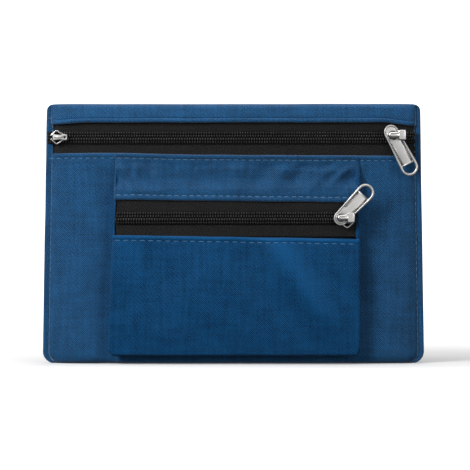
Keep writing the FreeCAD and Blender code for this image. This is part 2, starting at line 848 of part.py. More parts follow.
def check(nodes):
    """Stop if any object failed, or any node has no valid solid."""
    for item in doc.Objects:
        if "Invalid" in item.State or "Error" in item.State:
            raise RuntimeError("%s is %s" % (item.Name, item.State))
    for node in nodes:
        if node.Shape.isNull() or not node.Shape.isValid() or not node.Shape.Solids:
            raise RuntimeError("%s has no valid solid" % node.Label)


def export(nodes):
    os.makedirs("parts", exist_ok=True)
    for node in nodes:
        node.Shape.exportStep(os.path.join("parts", node.Label + ".step"))


pocket_tape = pocket_face + D["fabric"] + D["gap"]
nodes = build_pouch() + build_pocket() + build_zips(pocket_tape) + build_sliders(pocket_tape)
doc.recompute()
check(nodes)
export(nodes)
for node in nodes:
    box = node.Shape.BoundBox
    print("%-22s solids %d volume %9.1f  x %7.1f %7.1f  y %6.1f %6.1f  z %6.1f %6.1f" % (
        node.Label, len(node.Shape.Solids), node.Shape.Volume, box.XMin, box.XMax,
        box.YMin, box.YMax, box.ZMin, box.ZMax))
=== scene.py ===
import bmesh
import bpy
import json
from math import asin, copysign, cos, degrees, exp, pi, radians, sin, sqrt
from mathutils import Matrix, Vector, noise


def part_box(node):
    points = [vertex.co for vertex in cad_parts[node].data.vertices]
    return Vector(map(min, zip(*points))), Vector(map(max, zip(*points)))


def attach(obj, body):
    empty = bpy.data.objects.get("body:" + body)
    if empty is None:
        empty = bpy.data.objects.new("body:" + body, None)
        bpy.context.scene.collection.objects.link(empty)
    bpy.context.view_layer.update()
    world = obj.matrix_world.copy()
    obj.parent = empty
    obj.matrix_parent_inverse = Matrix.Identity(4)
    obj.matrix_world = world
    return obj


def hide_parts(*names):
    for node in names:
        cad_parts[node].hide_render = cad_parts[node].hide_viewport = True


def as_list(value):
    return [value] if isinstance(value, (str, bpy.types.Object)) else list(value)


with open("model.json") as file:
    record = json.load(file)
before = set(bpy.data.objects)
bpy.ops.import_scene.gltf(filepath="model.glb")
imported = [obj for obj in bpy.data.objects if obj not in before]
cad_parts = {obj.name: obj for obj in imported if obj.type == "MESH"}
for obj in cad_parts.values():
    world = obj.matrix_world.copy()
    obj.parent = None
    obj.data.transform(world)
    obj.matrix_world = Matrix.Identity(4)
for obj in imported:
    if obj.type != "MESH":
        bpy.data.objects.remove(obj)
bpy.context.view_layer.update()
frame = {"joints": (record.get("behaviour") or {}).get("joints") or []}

# Lengths are millimetres until a mesh is finished, and then metres.
# X runs along the width, the front faces -Y and +Z is up.
MM = 0.001


def span(node):
    """The lowest and highest corner of a CAD node."""
    low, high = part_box(node)
    return low / MM, high / MM


# ---- sizes from the frame

band_low, band_high = span("top_band")
pocket_low, pocket_high = span("pocket_lower_panel")
shoulder_low, shoulder_high = span("pocket_upper_panel")
coil_low, coil_high = span("main_zip_lower_coil")
pocket_tape_low, pocket_tape_high = span("pocket_zip_upper_tape")
pocket_coil_low, pocket_coil_high = span("pocket_zip_lower_coil")

HEIGHT = band_high.z
BASE_HALF = span("right_edge_binding")[1].x
SEAM_WIDTH = 3.7
TOP_HALF = band_high.x + 4.5
FRONT_Y = span("front_panel")[0].y
BACK_Y = span("bottom_panel")[1].y
TOP_BACK_Y = band_high.y
POCKET_Y = pocket_low.y
SEAM_LEAN = (FRONT_Y + TOP_BACK_Y) / 2 / HEIGHT
BASE_CORNER = 7.0
TOP_CORNER = 3.6
SEAM_HALF_THICK = 1.0
SEAM_FORWARD = 2.0
CLOTH = 0.8

# Points closer than this become one.
WELD = 0.0005

# The front and back panels start this far above the floor.
PANEL_FOOT = 0.35

# The main pull sweeps across the pocket's upper edge in front of this depth, and the flap
# and its creases keep these distances behind it.
MAIN_PULL_BACK = span("main_pull")[1].y
FLAP_CLEAR = 2.2
CREASE_CLEAR = 0.7

# Bend of the cloth round the pocket's upright folds.
FOLD_RADIUS = 1.2

# The open edges of the cloth beside the zips, and the sewn rows next to them.
MAIN_ZIP_Z = (coil_low.z + span("main_zip_upper_coil")[1].z) / 2
POCKET_ZIP_Z = (pocket_coil_low.z + span("pocket_zip_upper_coil")[1].z) / 2
LIP_UPPER = 137.9
LIP_LOWER = 119.2
LIP_ROW = 2.9
HEADER_ROW = 2.1
HEADER_LEAN = 0.8
TAPE_LEFT = -102.5
TAPE_RIGHT = 103.8
POCKET_LIP_UPPER = shoulder_low.z + 0.1
POCKET_LIP_LOWER = pocket_high.z + 0.4

STITCH_PITCH = 4.15
STITCH_LENGTH = 3.25
STITCH_RADIUS = 0.2
COIL_PITCH = 1.47

# The pocket's slider sits this much lower on its zip than its CAD node.
POCKET_CASTING_DROP = 1.9


def smooth(low, high, value):
    """0 below low, 1 above high, and a soft step between them."""
    t = min(max((value - low) / (high - low), 0.0), 1.0)
    return t * t * (3 - 2 * t)


def mix(start, end, share):
    """The value a share of the way from start to end."""
    return start + (end - start) * share


def ripple(x, z, size, seed):
    """Smooth noise between -1 and 1 whose lumps are about size across."""
    return noise.noise(Vector((x / size, z / size, seed)))


# ---- the pouch's shape


def outer_half(z):
    """Half the outline's width at a height, with its rounded corners."""
    half = BASE_HALF + (TOP_HALF - BASE_HALF) * z / HEIGHT
    drop = max(BASE_CORNER - z, 0.0)
    half -= BASE_CORNER - sqrt(BASE_CORNER ** 2 - min(drop, BASE_CORNER) ** 2)
    rise = max(z - (HEIGHT - TOP_CORNER), 0.0)
    half -= TOP_CORNER - sqrt(TOP_CORNER ** 2 - min(rise, TOP_CORNER) ** 2)
    return half


def inner_half(z):
    """Half the width between the sewn rows of the two side seams."""
    return outer_half(z) - SEAM_WIDTH


def seam_y(z):
    """Depth of the side seams' middle."""
    return SEAM_LEAN * z - SEAM_FORWARD * (1 - 0.5 * z / HEIGHT)


def back_y(z):
    return BACK_Y + (TOP_BACK_Y - BACK_Y) * z / HEIGHT


def dome(x, z):
    """How far the shell stands out from the side seams: 0 on them and 1 in the middle."""
    t = min(abs(x) / inner_half(z), 1.0)
    square = 8 + 12 * smooth(55, 116, z)
    return (1 - t ** square) ** 0.7


def tuck(z):
    """How far the shell pulls in near the floor."""
    depth = 5.0
    drop = max(depth - z, 0.0) / depth
    return 3.4 * (1 - sqrt(1 - drop ** 2 * 0.98))


def front_shell(x, z):
    """Depth of the front panel, with soft lumps and a valley along each fold of the pocket."""
    edge = seam_y(z) - SEAM_HALF_THICK * 0.8
    y = edge + (FRONT_Y + tuck(z) - edge) * dome(x, z)
    soft = dome(x, z)
    y += 0.45 * soft * ripple(x, z * 0.5, 24, 1.5)
    y += 0.12 * soft * ripple(x, z * 0.3, 5, 7.5)
    for side, depth, width in ((-1, 1.8, 7.0), (1, 0.7, 11.0)):
        off = x - pocket_edge(z, side)
        y += depth * (1 - smooth(104, 118, z)) * exp(-(off / width) ** 2)
    return y


def back_shell(x, z):
    edge = seam_y(z) + SEAM_HALF_THICK * 0.8
    y = edge + (back_y(z) - tuck(z) - edge) * dome(x, z)
    soft = dome(x, z)
    y += 0.9 * soft * ripple(x, z * 0.6, 38, 21.5)
    y += 0.35 * soft * ripple(x, z * 0.5, 13, 27.5)
    return y


def upper_lip(x):
    """Height of the header's open edge over the main zip."""
    left_dip = 1.2 * smooth(-84, -102, x)
    right_dip = 1.9 * smooth(84, 104, x)
    return LIP_UPPER - left_dip - right_dip + 0.15 * ripple(x, 0, 18, 4.5)


def lower_lip(x):
    """Height of the front panel's open edge under the main zip."""
    return LIP_LOWER - 0.006 * x + 0.7 * exp(-((x + 70) / 30) ** 2) + 0.15 * ripple(x, 0, 15, 8.5)


def lip_swell(distance):
    """Cloth folded back along an open edge: proud beside it, sunk at the sewn row."""
    fold = 0.55 * smooth(0.0, 0.7, distance) * (1 - smooth(LIP_ROW - 1.0, LIP_ROW, distance))
    groove = 0.28 * exp(-((distance - LIP_ROW) / 0.7) ** 2)
    return fold - groove


# ---- mesh helpers


def place_object(name, data):
    """A new object in the scene."""
    item = bpy.data.objects.new(name, data)
    bpy.context.scene.collection.objects.link(item)
    return item


class Shape:
    """Points, faces and cloth coordinates of one piece, in millimetres."""

    def __init__(self):
        self.points = []
        self.faces = []
        self.cloth = []

    def add(self, points, faces, cloth=None):
        start = len(self.points)
        self.points.extend(Vector(p) for p in points)
        self.faces.extend([start + i for i in face] for face in faces)
        self.cloth.extend(cloth or [(p[0], p[2]) for p in points])

    def add_mesh(self, mesh):
        """Take over a mesh and delete it."""
        points = [v.co.copy() for v in mesh.vertices]
        self.add(points, [list(p.vertices) for p in mesh.polygons])
        bpy.data.meshes.remove(mesh)

    def grid(self, columns, rows, point):
        """A quad grid through point(s, t), where s and t run from 0 to 1."""
        lines = [[Vector(point(c / columns, r / rows)) for c in range(columns + 1)]
                 for r in range(rows + 1)]
        middle = columns // 2
        cloth = []
        along = 0.0
        for r, line in enumerate(lines):
            if r:
                along += (line[middle] - lines[r - 1][middle]).length
            steps = [0.0]
            for c in range(columns):
                steps.append(steps[-1] + (line[c + 1] - line[c]).length)
            cloth.extend((step - steps[middle], along) for step in steps)
        wide = columns + 1
        faces = [(r * wide + c, r * wide + c + 1, (r + 1) * wide + c + 1, (r + 1) * wide + c)
                 for r in range(rows) for c in range(columns)]
        self.add([p for line in lines for p in line], faces, cloth)

    def tube(self, path, radii, sides=8, closed=False, flat=1.0):
        """A round bar along a path, with flat ends unless it closes on itself."""
        path = [Vector(p) for p in path]
        count = len(path)
        if not hasattr(radii, "__len__"):
            radii = [radii] * count
        points = []
        for i, centre in enumerate(path):
            before = path[i - 1] if closed or i else centre
            after = path[(i + 1) % count] if closed or i < count - 1 else centre
            ahead = (after - before).normalized()
            side = ahead.cross(Vector((0, 1, 0)))
            side = side.normalized() if side.length > 0.1 else Vector((0, 0, 1))
            out = side.cross(ahead)
            for k in range(sides):
                angle = 2 * pi * k / sides
                points.append(centre + side * (radii[i] * cos(angle))
                              + out * (radii[i] * flat * sin(angle)))
        loops = count if closed else count - 1
        faces = []
        for i in range(loops):
            near = i * sides
            far = ((i + 1) % count) * sides
            for k in range(sides):
                nxt = (k + 1) % sides
                faces.append((near + nxt, near + k, far + k, far + nxt))
        if not closed:
            faces.append(list(range(sides)))
            faces.append(list(reversed(range((count - 1) * sides, count * sides))))
        self.add(points, faces)

    def block(self, low, high, rounding, segments=3):
        """A box between two corners with rounded edges."""
        low = Vector(low)
        high = Vector(high)
        box = bmesh.new()
        bmesh.ops.create_cube(box, size=1.0)
        size = high - low
        for vertex in box.verts:
            vertex.co = Vector([low[i] + (vertex.co[i] + 0.5) * size[i] for i in range(3)])
        bmesh.ops.bevel(box, geom=box.edges[:], offset=rounding, segments=segments,
                        profile=0.5, affect="EDGES")
        mesh = bpy.data.meshes.new("block")
        box.to_mesh(mesh)
        box.free()
        self.add_mesh(mesh)

    def tablet(self, outlines, back, front, rounding):
        """A flat casting between two depths with rounded rims; later outlines are holes."""
        curve = bpy.data.curves.new("tablet", "CURVE")
        curve.dimensions = "2D"
        curve.fill_mode = "BOTH"
        curve.extrude = (back - front) / 2 - rounding
        curve.bevel_depth = rounding
        curve.bevel_resolution = 2
        curve.offset = -rounding
        for outline in outlines:
            spline = curve.splines.new("POLY")
            spline.points.add(len(outline) - 1)
            for point, place in zip(spline.points, outline):
                point.co = (place[0], place[1], 0, 1)
            spline.use_cyclic_u = True
        holder = bpy.data.objects.new("tablet", curve)
        mesh = bpy.data.meshes.new_from_object(holder)
        upright = Matrix.Rotation(radians(90), 4, "X")
        mesh.transform(Matrix.Translation((0, (back + front) / 2, 0)) @ upright)
        bpy.data.objects.remove(holder)
        bpy.data.curves.remove(curve)
        self.add_mesh(mesh)

    def move(self, matrix):
        self.points = [matrix @ p for p in self.points]

    def piece(self, name, body, material, slot, replaced=()):
        """Make the Blender object, in metres, riding on its body."""
        mesh = bpy.data.meshes.new(name)
        mesh.from_pydata([p * MM for p in self.points], [], self.faces)
        layer = mesh.uv_layers.new(name="cloth")
        for loop in mesh.loops:
            layer.data[loop.index].uv = self.cloth[loop.vertex_index]
        work = bmesh.new()
        work.from_mesh(mesh)
        bmesh.ops.remove_doubles(work, verts=work.verts[:], dist=WELD * MM)
        bmesh.ops.recalc_face_normals(work, faces=work.faces[:])
        work.to_mesh(mesh)
        work.free()
        mesh.shade_smooth()
        mesh.materials.append(material)
        item = place_object(name, mesh)
        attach(item, body)
        if replaced:
            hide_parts(*replaced)
        return item


def cloth_piece(name, node, columns, rows, point, cloth, thickness, offset=-1, slot="blue_fabric"):
    """A sheet of cloth through point(s, t), with its thickness, standing for a CAD node."""
    shape = Shape()
    shape.grid(columns, rows, point)
    item = shape.piece(name, "pouch", cloth, slot, [node])
    solid = item.modifiers.new("cloth_thickness", "SOLIDIFY")
    solid.thickness = thickness * MM
    solid.offset = offset
    return item


def rounded(corners, radius, steps=5):
    """A closed outline with each corner turned into a smooth bend."""
    corners = [Vector(c) for c in corners]
    count = len(corners)
    outline = []
    for i, corner in enumerate(corners):
        before = corners[i - 1] - corner
        after = corners[(i + 1) % count] - corner
        reach = min(radius, before.length * 0.49, after.length * 0.49)
        start = corner + before.normalized() * reach
        end = corner + after.normalized() * reach
        for step in range(steps + 1):
            t = step / steps
            outline.append(start * (1 - t) ** 2 + corner * (2 * t * (1 - t)) + end * t ** 2)
    return outline


def arc(centre, radius, start, end, steps=16):
    """Points round part of a circle; the angles are degrees from the first axis."""
    points = []
    for i in range(steps + 1):
        angle = radians(start + (end - start) * i / steps)
        points.append((centre[0] + radius * cos(angle), centre[1] + radius * sin(angle)))
    return points


# ---- materials


class Material:
    """A Principled material whose nodes are added by name."""

    def __init__(self, name):
        self.material = bpy.data.materials.new(name)
        self.material.use_nodes = True
        self.tree = self.material.node_tree
        self.shader = self.tree.nodes["Principled BSDF"]

    def add(self, kind, **values):
        """A node; a value that is a socket is linked, any other is set."""
        node = self.tree.nodes.new("ShaderNode" + kind)
        for key, value in values.items():
            if hasattr(node, key):
                setattr(node, key, value)
            else:
                self.feed(node.inputs[key.replace("_", " ")], value)
        return node

    def feed(self, socket, value):
        """Link a socket, or set a plain value."""
        if isinstance(value, bpy.types.NodeSocket):
            self.tree.links.new(value, socket)
        else:
            socket.default_value = value

    def math(self, operation, *values):
        """A maths node on one to three values, each a socket or a number."""
        node = self.add("Math", operation=operation)
        for socket, value in zip(node.inputs, values):
            self.feed(socket, value)
        return node.outputs[0]

    def noise(self, place, scale, detail=2.0, roughness=0.5):
        return self.add("TexNoise", Vector=place, Scale=scale, Detail=detail,
                        Roughness=roughness).outputs["Fac"]

    def wave(self, place, direction, scale, **values):
        return self.add("TexWave", bands_direction=direction, Vector=place, Scale=scale,
                        **values).outputs["Fac"]

    def sum(self, *parts):
        """Add up (value, weight) pairs, each counted from its middle value of a half."""
        total = None
        for value, weight in parts:
            middle = 0.5 if total is None else 0.0
            scaled = self.math("MULTIPLY_ADD", value, weight, middle - weight / 2)
            total = scaled if total is None else self.math("ADD", total, scaled)
        return total

    def ramp(self, factor, dark, light):
        """A blend from a dark to a light colour."""
        node = self.add("ValToRGB", Fac=factor)
        node.color_ramp.elements[0].color = (*dark, 1)
        node.color_ramp.elements[1].color = (*light, 1)
        return node.outputs["Color"]

    def range(self, value, low, high, start=0.0, end=1.0, **values):
        """Map start to end onto low to high; the result may go past them unless clamp is set."""
        values.setdefault("clamp", False)
        node = self.add("MapRange", Value=value, From_Min=start, From_Max=end, To_Min=low,
                        To_Max=high, **values)
        return node.outputs["Result"]

    def streak(self, place, start, end, width):
        """A soft mask: 1 on the line between two places, and 0 at a width from it."""
        ahead = (end - start).normalized()
        side = Vector((-ahead.y, ahead.x))
        axes = self.add("SeparateXYZ", Vector=place).outputs
        measures = []
        for axis in (ahead, side):
            across = self.math("MULTIPLY_ADD", axes["X"], axis.x, -start.dot(axis))
            measures.append(self.math("MULTIPLY_ADD", axes["Y"], axis.y, across))
        along, off = measures
        length = (end - start).length
        mask = None
        for value, outer, inner in ((self.math("ABSOLUTE", off), width, 0.0), (along, -width, width),
                                    (along, length + width, length - width)):
            edge = self.range(value, 0.0, 1.0, outer, inner, interpolation_type="SMOOTHSTEP")
            mask = edge if mask is None else self.math("MULTIPLY", mask, edge)
        return mask

    def finish(self, color, roughness, height, depth, **extra):
        """Feed the shader: depth is the bump's height in millimetres."""
        bump = self.add("Bump", Height=height, Distance=depth * MM)
        self.feed(self.shader.inputs["Base Color"], color)
        self.feed(self.shader.inputs["Roughness"], roughness)
        self.feed(self.shader.inputs["Normal"], bump.outputs["Normal"])
        for key, value in extra.items():
            self.feed(self.shader.inputs[key.replace("_", " ")], value)
        return self.material


def shade(color, factor):
    """A colour made darker or lighter, within the limit of white."""
    return tuple(min(c * factor, 1.0) for c in color)


def woven(name, color, pitch=1.2, contrast=0.75, weave=0.8, cloud=1.0, sheen=0.04, roughness=0.6,
          gloss=0.12, painted_highlights=()):
    """Woven cloth: crossing yarns a pitch apart, uneven yarns both ways, and soft clouding.

    Each painted highlight is a paler streak of painted sheen: its two ends, its half width and its
    strength.
    """
    net = Material(name)
    place = net.add("TexCoord").outputs["UV"]
    wave = 2 * pi / 20 / pitch
    uneven = {"Distortion": 0.9, "Detail": 1.0, "Detail_Scale": 0.7}
    warp = net.wave(place, "X", wave, **uneven)
    weft = net.wave(place, "Y", wave * 1.06, **uneven)
    crossing = net.math("MULTIPLY", net.range(warp, -1.0, 1.0), net.range(weft, -1.0, 1.0))
    yarns = net.range(crossing, 0.5, 1.0)
    twill = net.wave(place, "DIAGONAL", wave, Distortion=1.2, Detail_Scale=1.5)
    grain = net.noise(place, 2.0 / pitch, 1.0, 0.7)
    fibre = net.noise(place, 2.4 / pitch, 2.0, 0.6)
    upright = net.add("Mapping", Vector=place, Scale=(0.55 / pitch, 0.03, 1.0)).outputs[0]
    level = net.add("Mapping", Vector=place, Scale=(0.035, 0.55 / pitch, 1.0)).outputs[0]
    mottle = net.noise(place, 0.24, 3.0, 0.6)
    clouds = net.noise(place, 0.075, 3.0, 0.55)
    tone = net.sum((yarns, 1.1 * weave), (twill, 0.16 * weave), (grain, 2.6 * weave),
                   (fibre, 1.0 * weave), (net.noise(upright, 1.0), 0.5 * cloud),
                   (net.noise(level, 1.0), 0.35 * cloud), (mottle, 0.3 * cloud),
                   (clouds, 0.5 * cloud))
    # Painted highlights: paler streaks laid into the cloth's tone.
    for start, end, width, strength in painted_highlights:
        mask = net.streak(place, Vector(start), Vector(end), width)
        tone = net.math("MULTIPLY_ADD", mask, strength, tone)
    height = net.sum((yarns, 0.6), (twill, 0.3), (fibre, 0.4))
    return net.finish(net.ramp(tone, shade(color, 1 - contrast), shade(color, 1 + contrast)),
                      net.range(tone, roughness + 0.08, roughness - 0.1), height, 0.08,
                      Sheen_Weight=sheen, Sheen_Roughness=0.45, Specular_IOR_Level=gloss)


def thread_material(name, color, sheen=0.25, gloss=0.5):
    """Twisted sewing thread."""
    net = Material(name)
    place = net.add("TexCoord").outputs["Object"]
    twist = net.wave(place, "DIAGONAL", 700.0)
    tone = net.sum((twist, 0.5), (net.noise(place, 900.0), 0.8))
    return net.finish(net.ramp(tone, shade(color, 0.7), shade(color, 1.25)), 0.55, tone, 0.05,
                      Sheen_Weight=sheen, Specular_IOR_Level=gloss)


def plastic(name, color):
    """Moulded nylon with a slightly uneven gloss."""
    net = Material(name)
    place = net.add("TexCoord").outputs["Object"]
    fine = net.noise(place, 1500.0)
    tone = net.sum((fine, 0.5), (net.noise(place, 90.0, 3.0), 0.8))
    return net.finish(net.ramp(tone, shade(color, 0.7), shade(color, 1.4)),
                      net.range(tone, 0.2, 0.34), fine, 0.02, Specular_IOR_Level=0.45)


def metal(name, color, roughness):
    """Plated zinc casting: satin, with faint handling marks and a slightly uneven skin."""
    net = Material(name)
    place = net.add("TexCoord").outputs["Object"]
    skin = net.noise(place, 420.0, 4.0, 0.6)
    drawn = net.add("Mapping", Vector=place, Scale=(300.0, 300.0, 2600.0)).outputs[0]
    tone = net.sum((skin, 0.5), (net.noise(drawn, 1.0, 3.0), 0.3), (net.noise(place, 150.0), 0.3))
    return net.finish(net.ramp(tone, shade(color, 0.82), shade(color, 1.12)),
                      net.range(tone, roughness + 0.12, roughness - 0.06), skin, 0.03,
                      Metallic=1.0)


BLUE = (0.008, 0.081, 0.21)
# A darker copy of the blue for the pocket's lower front, floor and gussets: painted shade.
POCKET_BLUE_PAINTED_SHADE = (0.0035, 0.061, 0.172)
blue_cloth = woven("blue_weave", shade(BLUE, 0.97), sheen=0.48, gloss=0.15)
# The flap is a darker copy of the blue cloth: painted shade.
flap_cloth_painted_shade = woven("flap_weave_painted_shade", shade(BLUE, 0.82), sheen=0.45, gloss=0.12)
# Painted highlights on the pocket front: a broad diagonal sheen band, a lit strip under the pocket zip
# and two soft pale patches.
POCKET_PAINTED_HIGHLIGHTS = [
    ((20, 74), (54, 24), 11, 0.42),
    ((-72, 70.0), (72, 67.6), 4.0, 0.55),
    ((-64, 66), (-58, 50), 12, 0.16),
    ((-24, 62), (-4, 56), 12, 0.1),
]
# Pocket cloth: the darker blue as painted shade, with the painted highlights streaked in.
pocket_cloth_painted_shade_and_highlights = woven("pocket_weave_painted_shade_and_highlights", POCKET_BLUE_PAINTED_SHADE, sheen=0.1, gloss=0.08, painted_highlights=POCKET_PAINTED_HIGHLIGHTS)
lining_cloth = woven("lining_weave", (0.012, 0.012, 0.014), pitch=0.8, cloud=0.3)
tape_cloth = woven("tape_weave", (0.0165, 0.0165, 0.0168), pitch=1.1, contrast=0.95, weave=1.4,
                   cloud=0.5, gloss=0.1)
light_thread = thread_material("light_thread", (0.085, 0.24, 0.42))
black_thread = thread_material("black_thread", (0.0015, 0.0015, 0.0015), sheen=0.0, gloss=0.15)
black_nylon = plastic("black_nylon", (0.075, 0.075, 0.075))
nickel = metal("bright_nickel", (0.72, 0.71, 0.695), 0.22)
satin_nickel = metal("satin_nickel", (0.70, 0.69, 0.675), 0.42)
# Near-black nickel: painted shade on the slider plates and on the groove sheets behind the pull tabs;
# the zip stops are made of it too.
dark_nickel_painted_shade = metal("dark_nickel_painted_shade", (0.075, 0.075, 0.073), 0.4)


# ---- pouch


def front_cloth():
    """Front panel, from the floor to the main zip."""

    def point(s, t):
        across = 2 * s - 1
        x = across * inner_half(60.0)
        z = PANEL_FOOT + (lower_lip(x) - PANEL_FOOT) * t
        x = across * (inner_half(z) + 0.4)
        y = front_shell(x, z) - lip_swell(lower_lip(x) - z) * dome(x, z)
        return (x, y, z)

    return cloth_piece("front_panel_cloth", "front_panel", 200, 130, point, blue_cloth, CLOTH)


def back_cloth():
    """Back panel, up to the header."""
    high = band_low.z + 0.6

    def point(s, t):
        z = mix(PANEL_FOOT, high, t)
        x = (1 - 2 * s) * (inner_half(z) + 0.4)
        return (x, back_shell(x, z), z)

    return cloth_piece("back_panel_cloth", "back_panel", 150, 100, point, blue_cloth, CLOTH)


def base_cloth():
    """Narrow strip that the pouch stands on."""
    half = BASE_HALF - BASE_CORNER - 1.0
    z = 0.75

    def point(s, t):
        x = (2 * s - 1) * half
        near = front_shell(x, z) + 0.5
        far = back_shell(x, z) - 0.5
        return (x, mix(near, far, t), z - 0.25 * sin(pi * t))

    return cloth_piece("base_cloth", "bottom_panel", 120, 14, point, blue_cloth, CLOTH * 0.6, 1)


def header_ripple(x, z):
    return 0.25 * ripple(x, z, 16, 3.5)


def header_pinch(x):
    """1 across the header, falling to 0 where the side seams hold it."""
    return dome(x, 120.0) ** 0.6


def pinched(x, y, z, side):
    """Depth of the header's front (-1) or back (1), drawn in to the side seams."""
    edge = seam_y(z)
    pinch = header_pinch(x)
    return edge + side * SEAM_HALF_THICK * (1 - pinch) + (y - edge) * pinch


def header_cloth():
    """Strip folded over the top edge, from the main zip to the back."""
    radius = (TOP_BACK_Y - FRONT_Y) / 2
    centre_y = (TOP_BACK_Y + FRONT_Y) / 2
    leg = HEIGHT - radius
    half = inner_half(HEIGHT - TOP_CORNER) + 1.0
    # The shares of the strip where the fold over the top edge starts, tops and ends.
    bend_start, crown, bend_end = 0.4, 0.55, 0.7

    def point(s, t):
        x = (2 * s - 1) * half
        lip = upper_lip(x)
        top_drop = 0.5 * (1 - header_pinch(x)) + 0.18 * ripple(x, 0, 30, 12.5)
        if t < bend_start:
            share = t / bend_start
            z = mix(lip, leg, share)
            y = FRONT_Y - lip_swell((z - lip) * LIP_ROW / HEADER_ROW) + HEADER_LEAN * (share ** 2 - 1)
        elif t < bend_end:
            angle = pi * (t - bend_start) / (bend_end - bend_start)
            z = leg + radius * sin(angle)
            y = centre_y - radius * cos(angle)
        else:
            share = (t - bend_end) / (1 - bend_end)
            z = mix(leg, band_low.z, share)
            y = mix(TOP_BACK_Y, back_y(z) + 0.5, share)
        y += header_ripple(x, z)
        y = pinched(x, y, z, -1 if t < crown else 1)
        return (x, y, z - top_drop * smooth(leg - 3, HEIGHT, z))

    return cloth_piece("header_cloth", "top_band", 200, 60, point, blue_cloth, CLOTH, 0)


def seam_strip(name, side, node):
    """Side seam: the two panels' edges folded together, with a round outer edge."""
    shape = Shape()
    low = 0.3
    high = HEIGHT - 0.15
    buried = 0.4

    def point(s, t):
        eased = 0.5 - 0.5 * cos(pi * t)
        z = mix(low, high, eased)
        angle = pi * s
        out = abs(sin(angle)) ** 0.4
        depth = copysign(abs(cos(angle)) ** 0.35, cos(angle))
        thick = SEAM_HALF_THICK * (1 + 0.12 * ripple(z, 0, 7, 31.5 + side))
        thick *= 0.5 + 0.5 * smooth(0.0, 0.13, min(s, 1 - s))
        wave = 0.18 * ripple(z, 0, 19, 41.5 + side)
        x = inner_half(z) - buried + (SEAM_WIDTH + buried + wave) * out
        return (side * x, seam_y(z) - thick * depth, z)

    shape.grid(28, 160, point)
    shape.piece(name, "pouch", blue_cloth, "blue_fabric", [node])


def lining(name, node, shell, inwards):
    """Thin lining that hangs just inside the shell."""
    low, high = span(node)

    def point(s, t):
        z = mix(low.z, high.z, t)
        x = (2 * s - 1) * (inner_half(z) - 5.0)
        sway = 0.25 * ripple(x, z * 0.4, 17, 91.5)
        return (x, shell(x, z) + inwards * (1.5 + sway), z)

    return cloth_piece(name, node, 110, 60, point, lining_cloth, 0.3, 0, "lining")


# ---- front pocket


def pocket_edge(z, side):
    """Where the pocket's left (-1) or right (1) fold stands at a height."""
    lean = z / shoulder_high.z
    if side < 0:
        x = mix(pocket_low.x, shoulder_low.x, lean)
    else:
        x = mix(pocket_high.x, shoulder_high.x, lean)
    return x + side * 0.25 * ripple(z, 0, 22, 50.5 + side)


def pocket_depth(z):
    """How far the pocket's front stands from the panel's front at a height."""
    full = FRONT_Y - POCKET_Y
    top = lower_lip(0) - LIP_ROW
    share = smooth(0, 1, (top - z) / (top - shoulder_low.z))
    return 0.75 + (full - 0.75) * share ** 0.8


def crease(x, z, start, end, width, height):
    """A soft ridge (or valley, if height is negative) from start to end."""
    a = Vector(start)
    b = Vector(end)
    p = Vector((x, z))
    run = b - a
    t = (p - a).dot(run) / run.length_squared
    across = abs((p - a).cross(run)) / run.length
    along = smooth(-0.15, 0.2, t) * (1 - smooth(0.7, 1.2, t))
    return height * along * exp(-(across / width) ** 2)


# Each crease: its two ends (x, z), its width and its height; a negative height is a valley.
UPPER_CREASES = [
    ((-67, 117), (-56, 99), 2.2, 1.5),
    ((-61, 117), (-57, 107), 1.8, -0.8),
    ((-50, 117), (-46, 108), 2.6, -1.5),
    ((-40, 117), (-31, 106), 3.4, -1.0),
    ((-56, 114), (-36, 100), 4.0, 1.0),
    ((-24, 115), (-13, 98), 4.5, -0.9),
    ((0, 117), (5, 98), 4.0, 1.3),
    ((19, 116), (11, 99), 4.5, -1.0),
    ((33, 117), (22, 99), 3.6, 1.2),
    ((43, 117), (31, 99), 3.2, -1.0),
    ((60, 116), (41, 98), 3.4, 1.3),
    ((61, 118), (50, 113), 2.6, -1.7),
    ((71, 117), (54, 101), 2.2, 1.4),
    ((70, 108), (60, 98), 2.8, -0.9),
]
LOWER_CREASES = [
    ((20, 75), (54, 20), 8.0, 3.0),
    ((2, 68), (34, 22), 9.0, -1.7),
    ((46, 70), (70, 46), 5.0, 0.8),
    ((40, 64), (62, 40), 5.0, -0.5),
    ((-68, 72), (-62, 42), 5.0, 1.0),
    ((-46, 70), (-36, 40), 8.0, -0.9),
    ((-14, 60), (-26, 30), 9.0, 0.5),
    ((-20, 30), (14, 14), 8.0, 0.7),
    ((-62, 26), (-30, 12), 6.0, 0.7),
]


def pocket_face(x, z, creases):
    """Depth of the pocket's front, without its folds."""
    y = FRONT_Y - pocket_depth(z)
    y -= sum(crease(x, z, *c) for c in creases)
    y -= 1.8 * sin(pi * min(z / POCKET_LIP_LOWER, 1.0) ** 1.2)
    y += 0.7 * ripple(x, z, 26, 61.5) + 0.2 * ripple(x, z, 7, 66.5)
    return y


def turned(s, left, right, radius):
    """A crosswise run that turns back round a fold at both ends: x, and depth behind the face."""
    turn = 0.04
    from_end = min(s, 1 - s)
    if from_end < turn:
        angle = pi / 2 * (1 - from_end / turn)
        inset = radius * (1 - sin(angle))
        return (left + inset if s < 0.5 else right - inset), radius * (1 - cos(angle))
    share = (s - turn) / (1 - 2 * turn)
    return left + radius + (right - left - 2 * radius) * share, 0.0


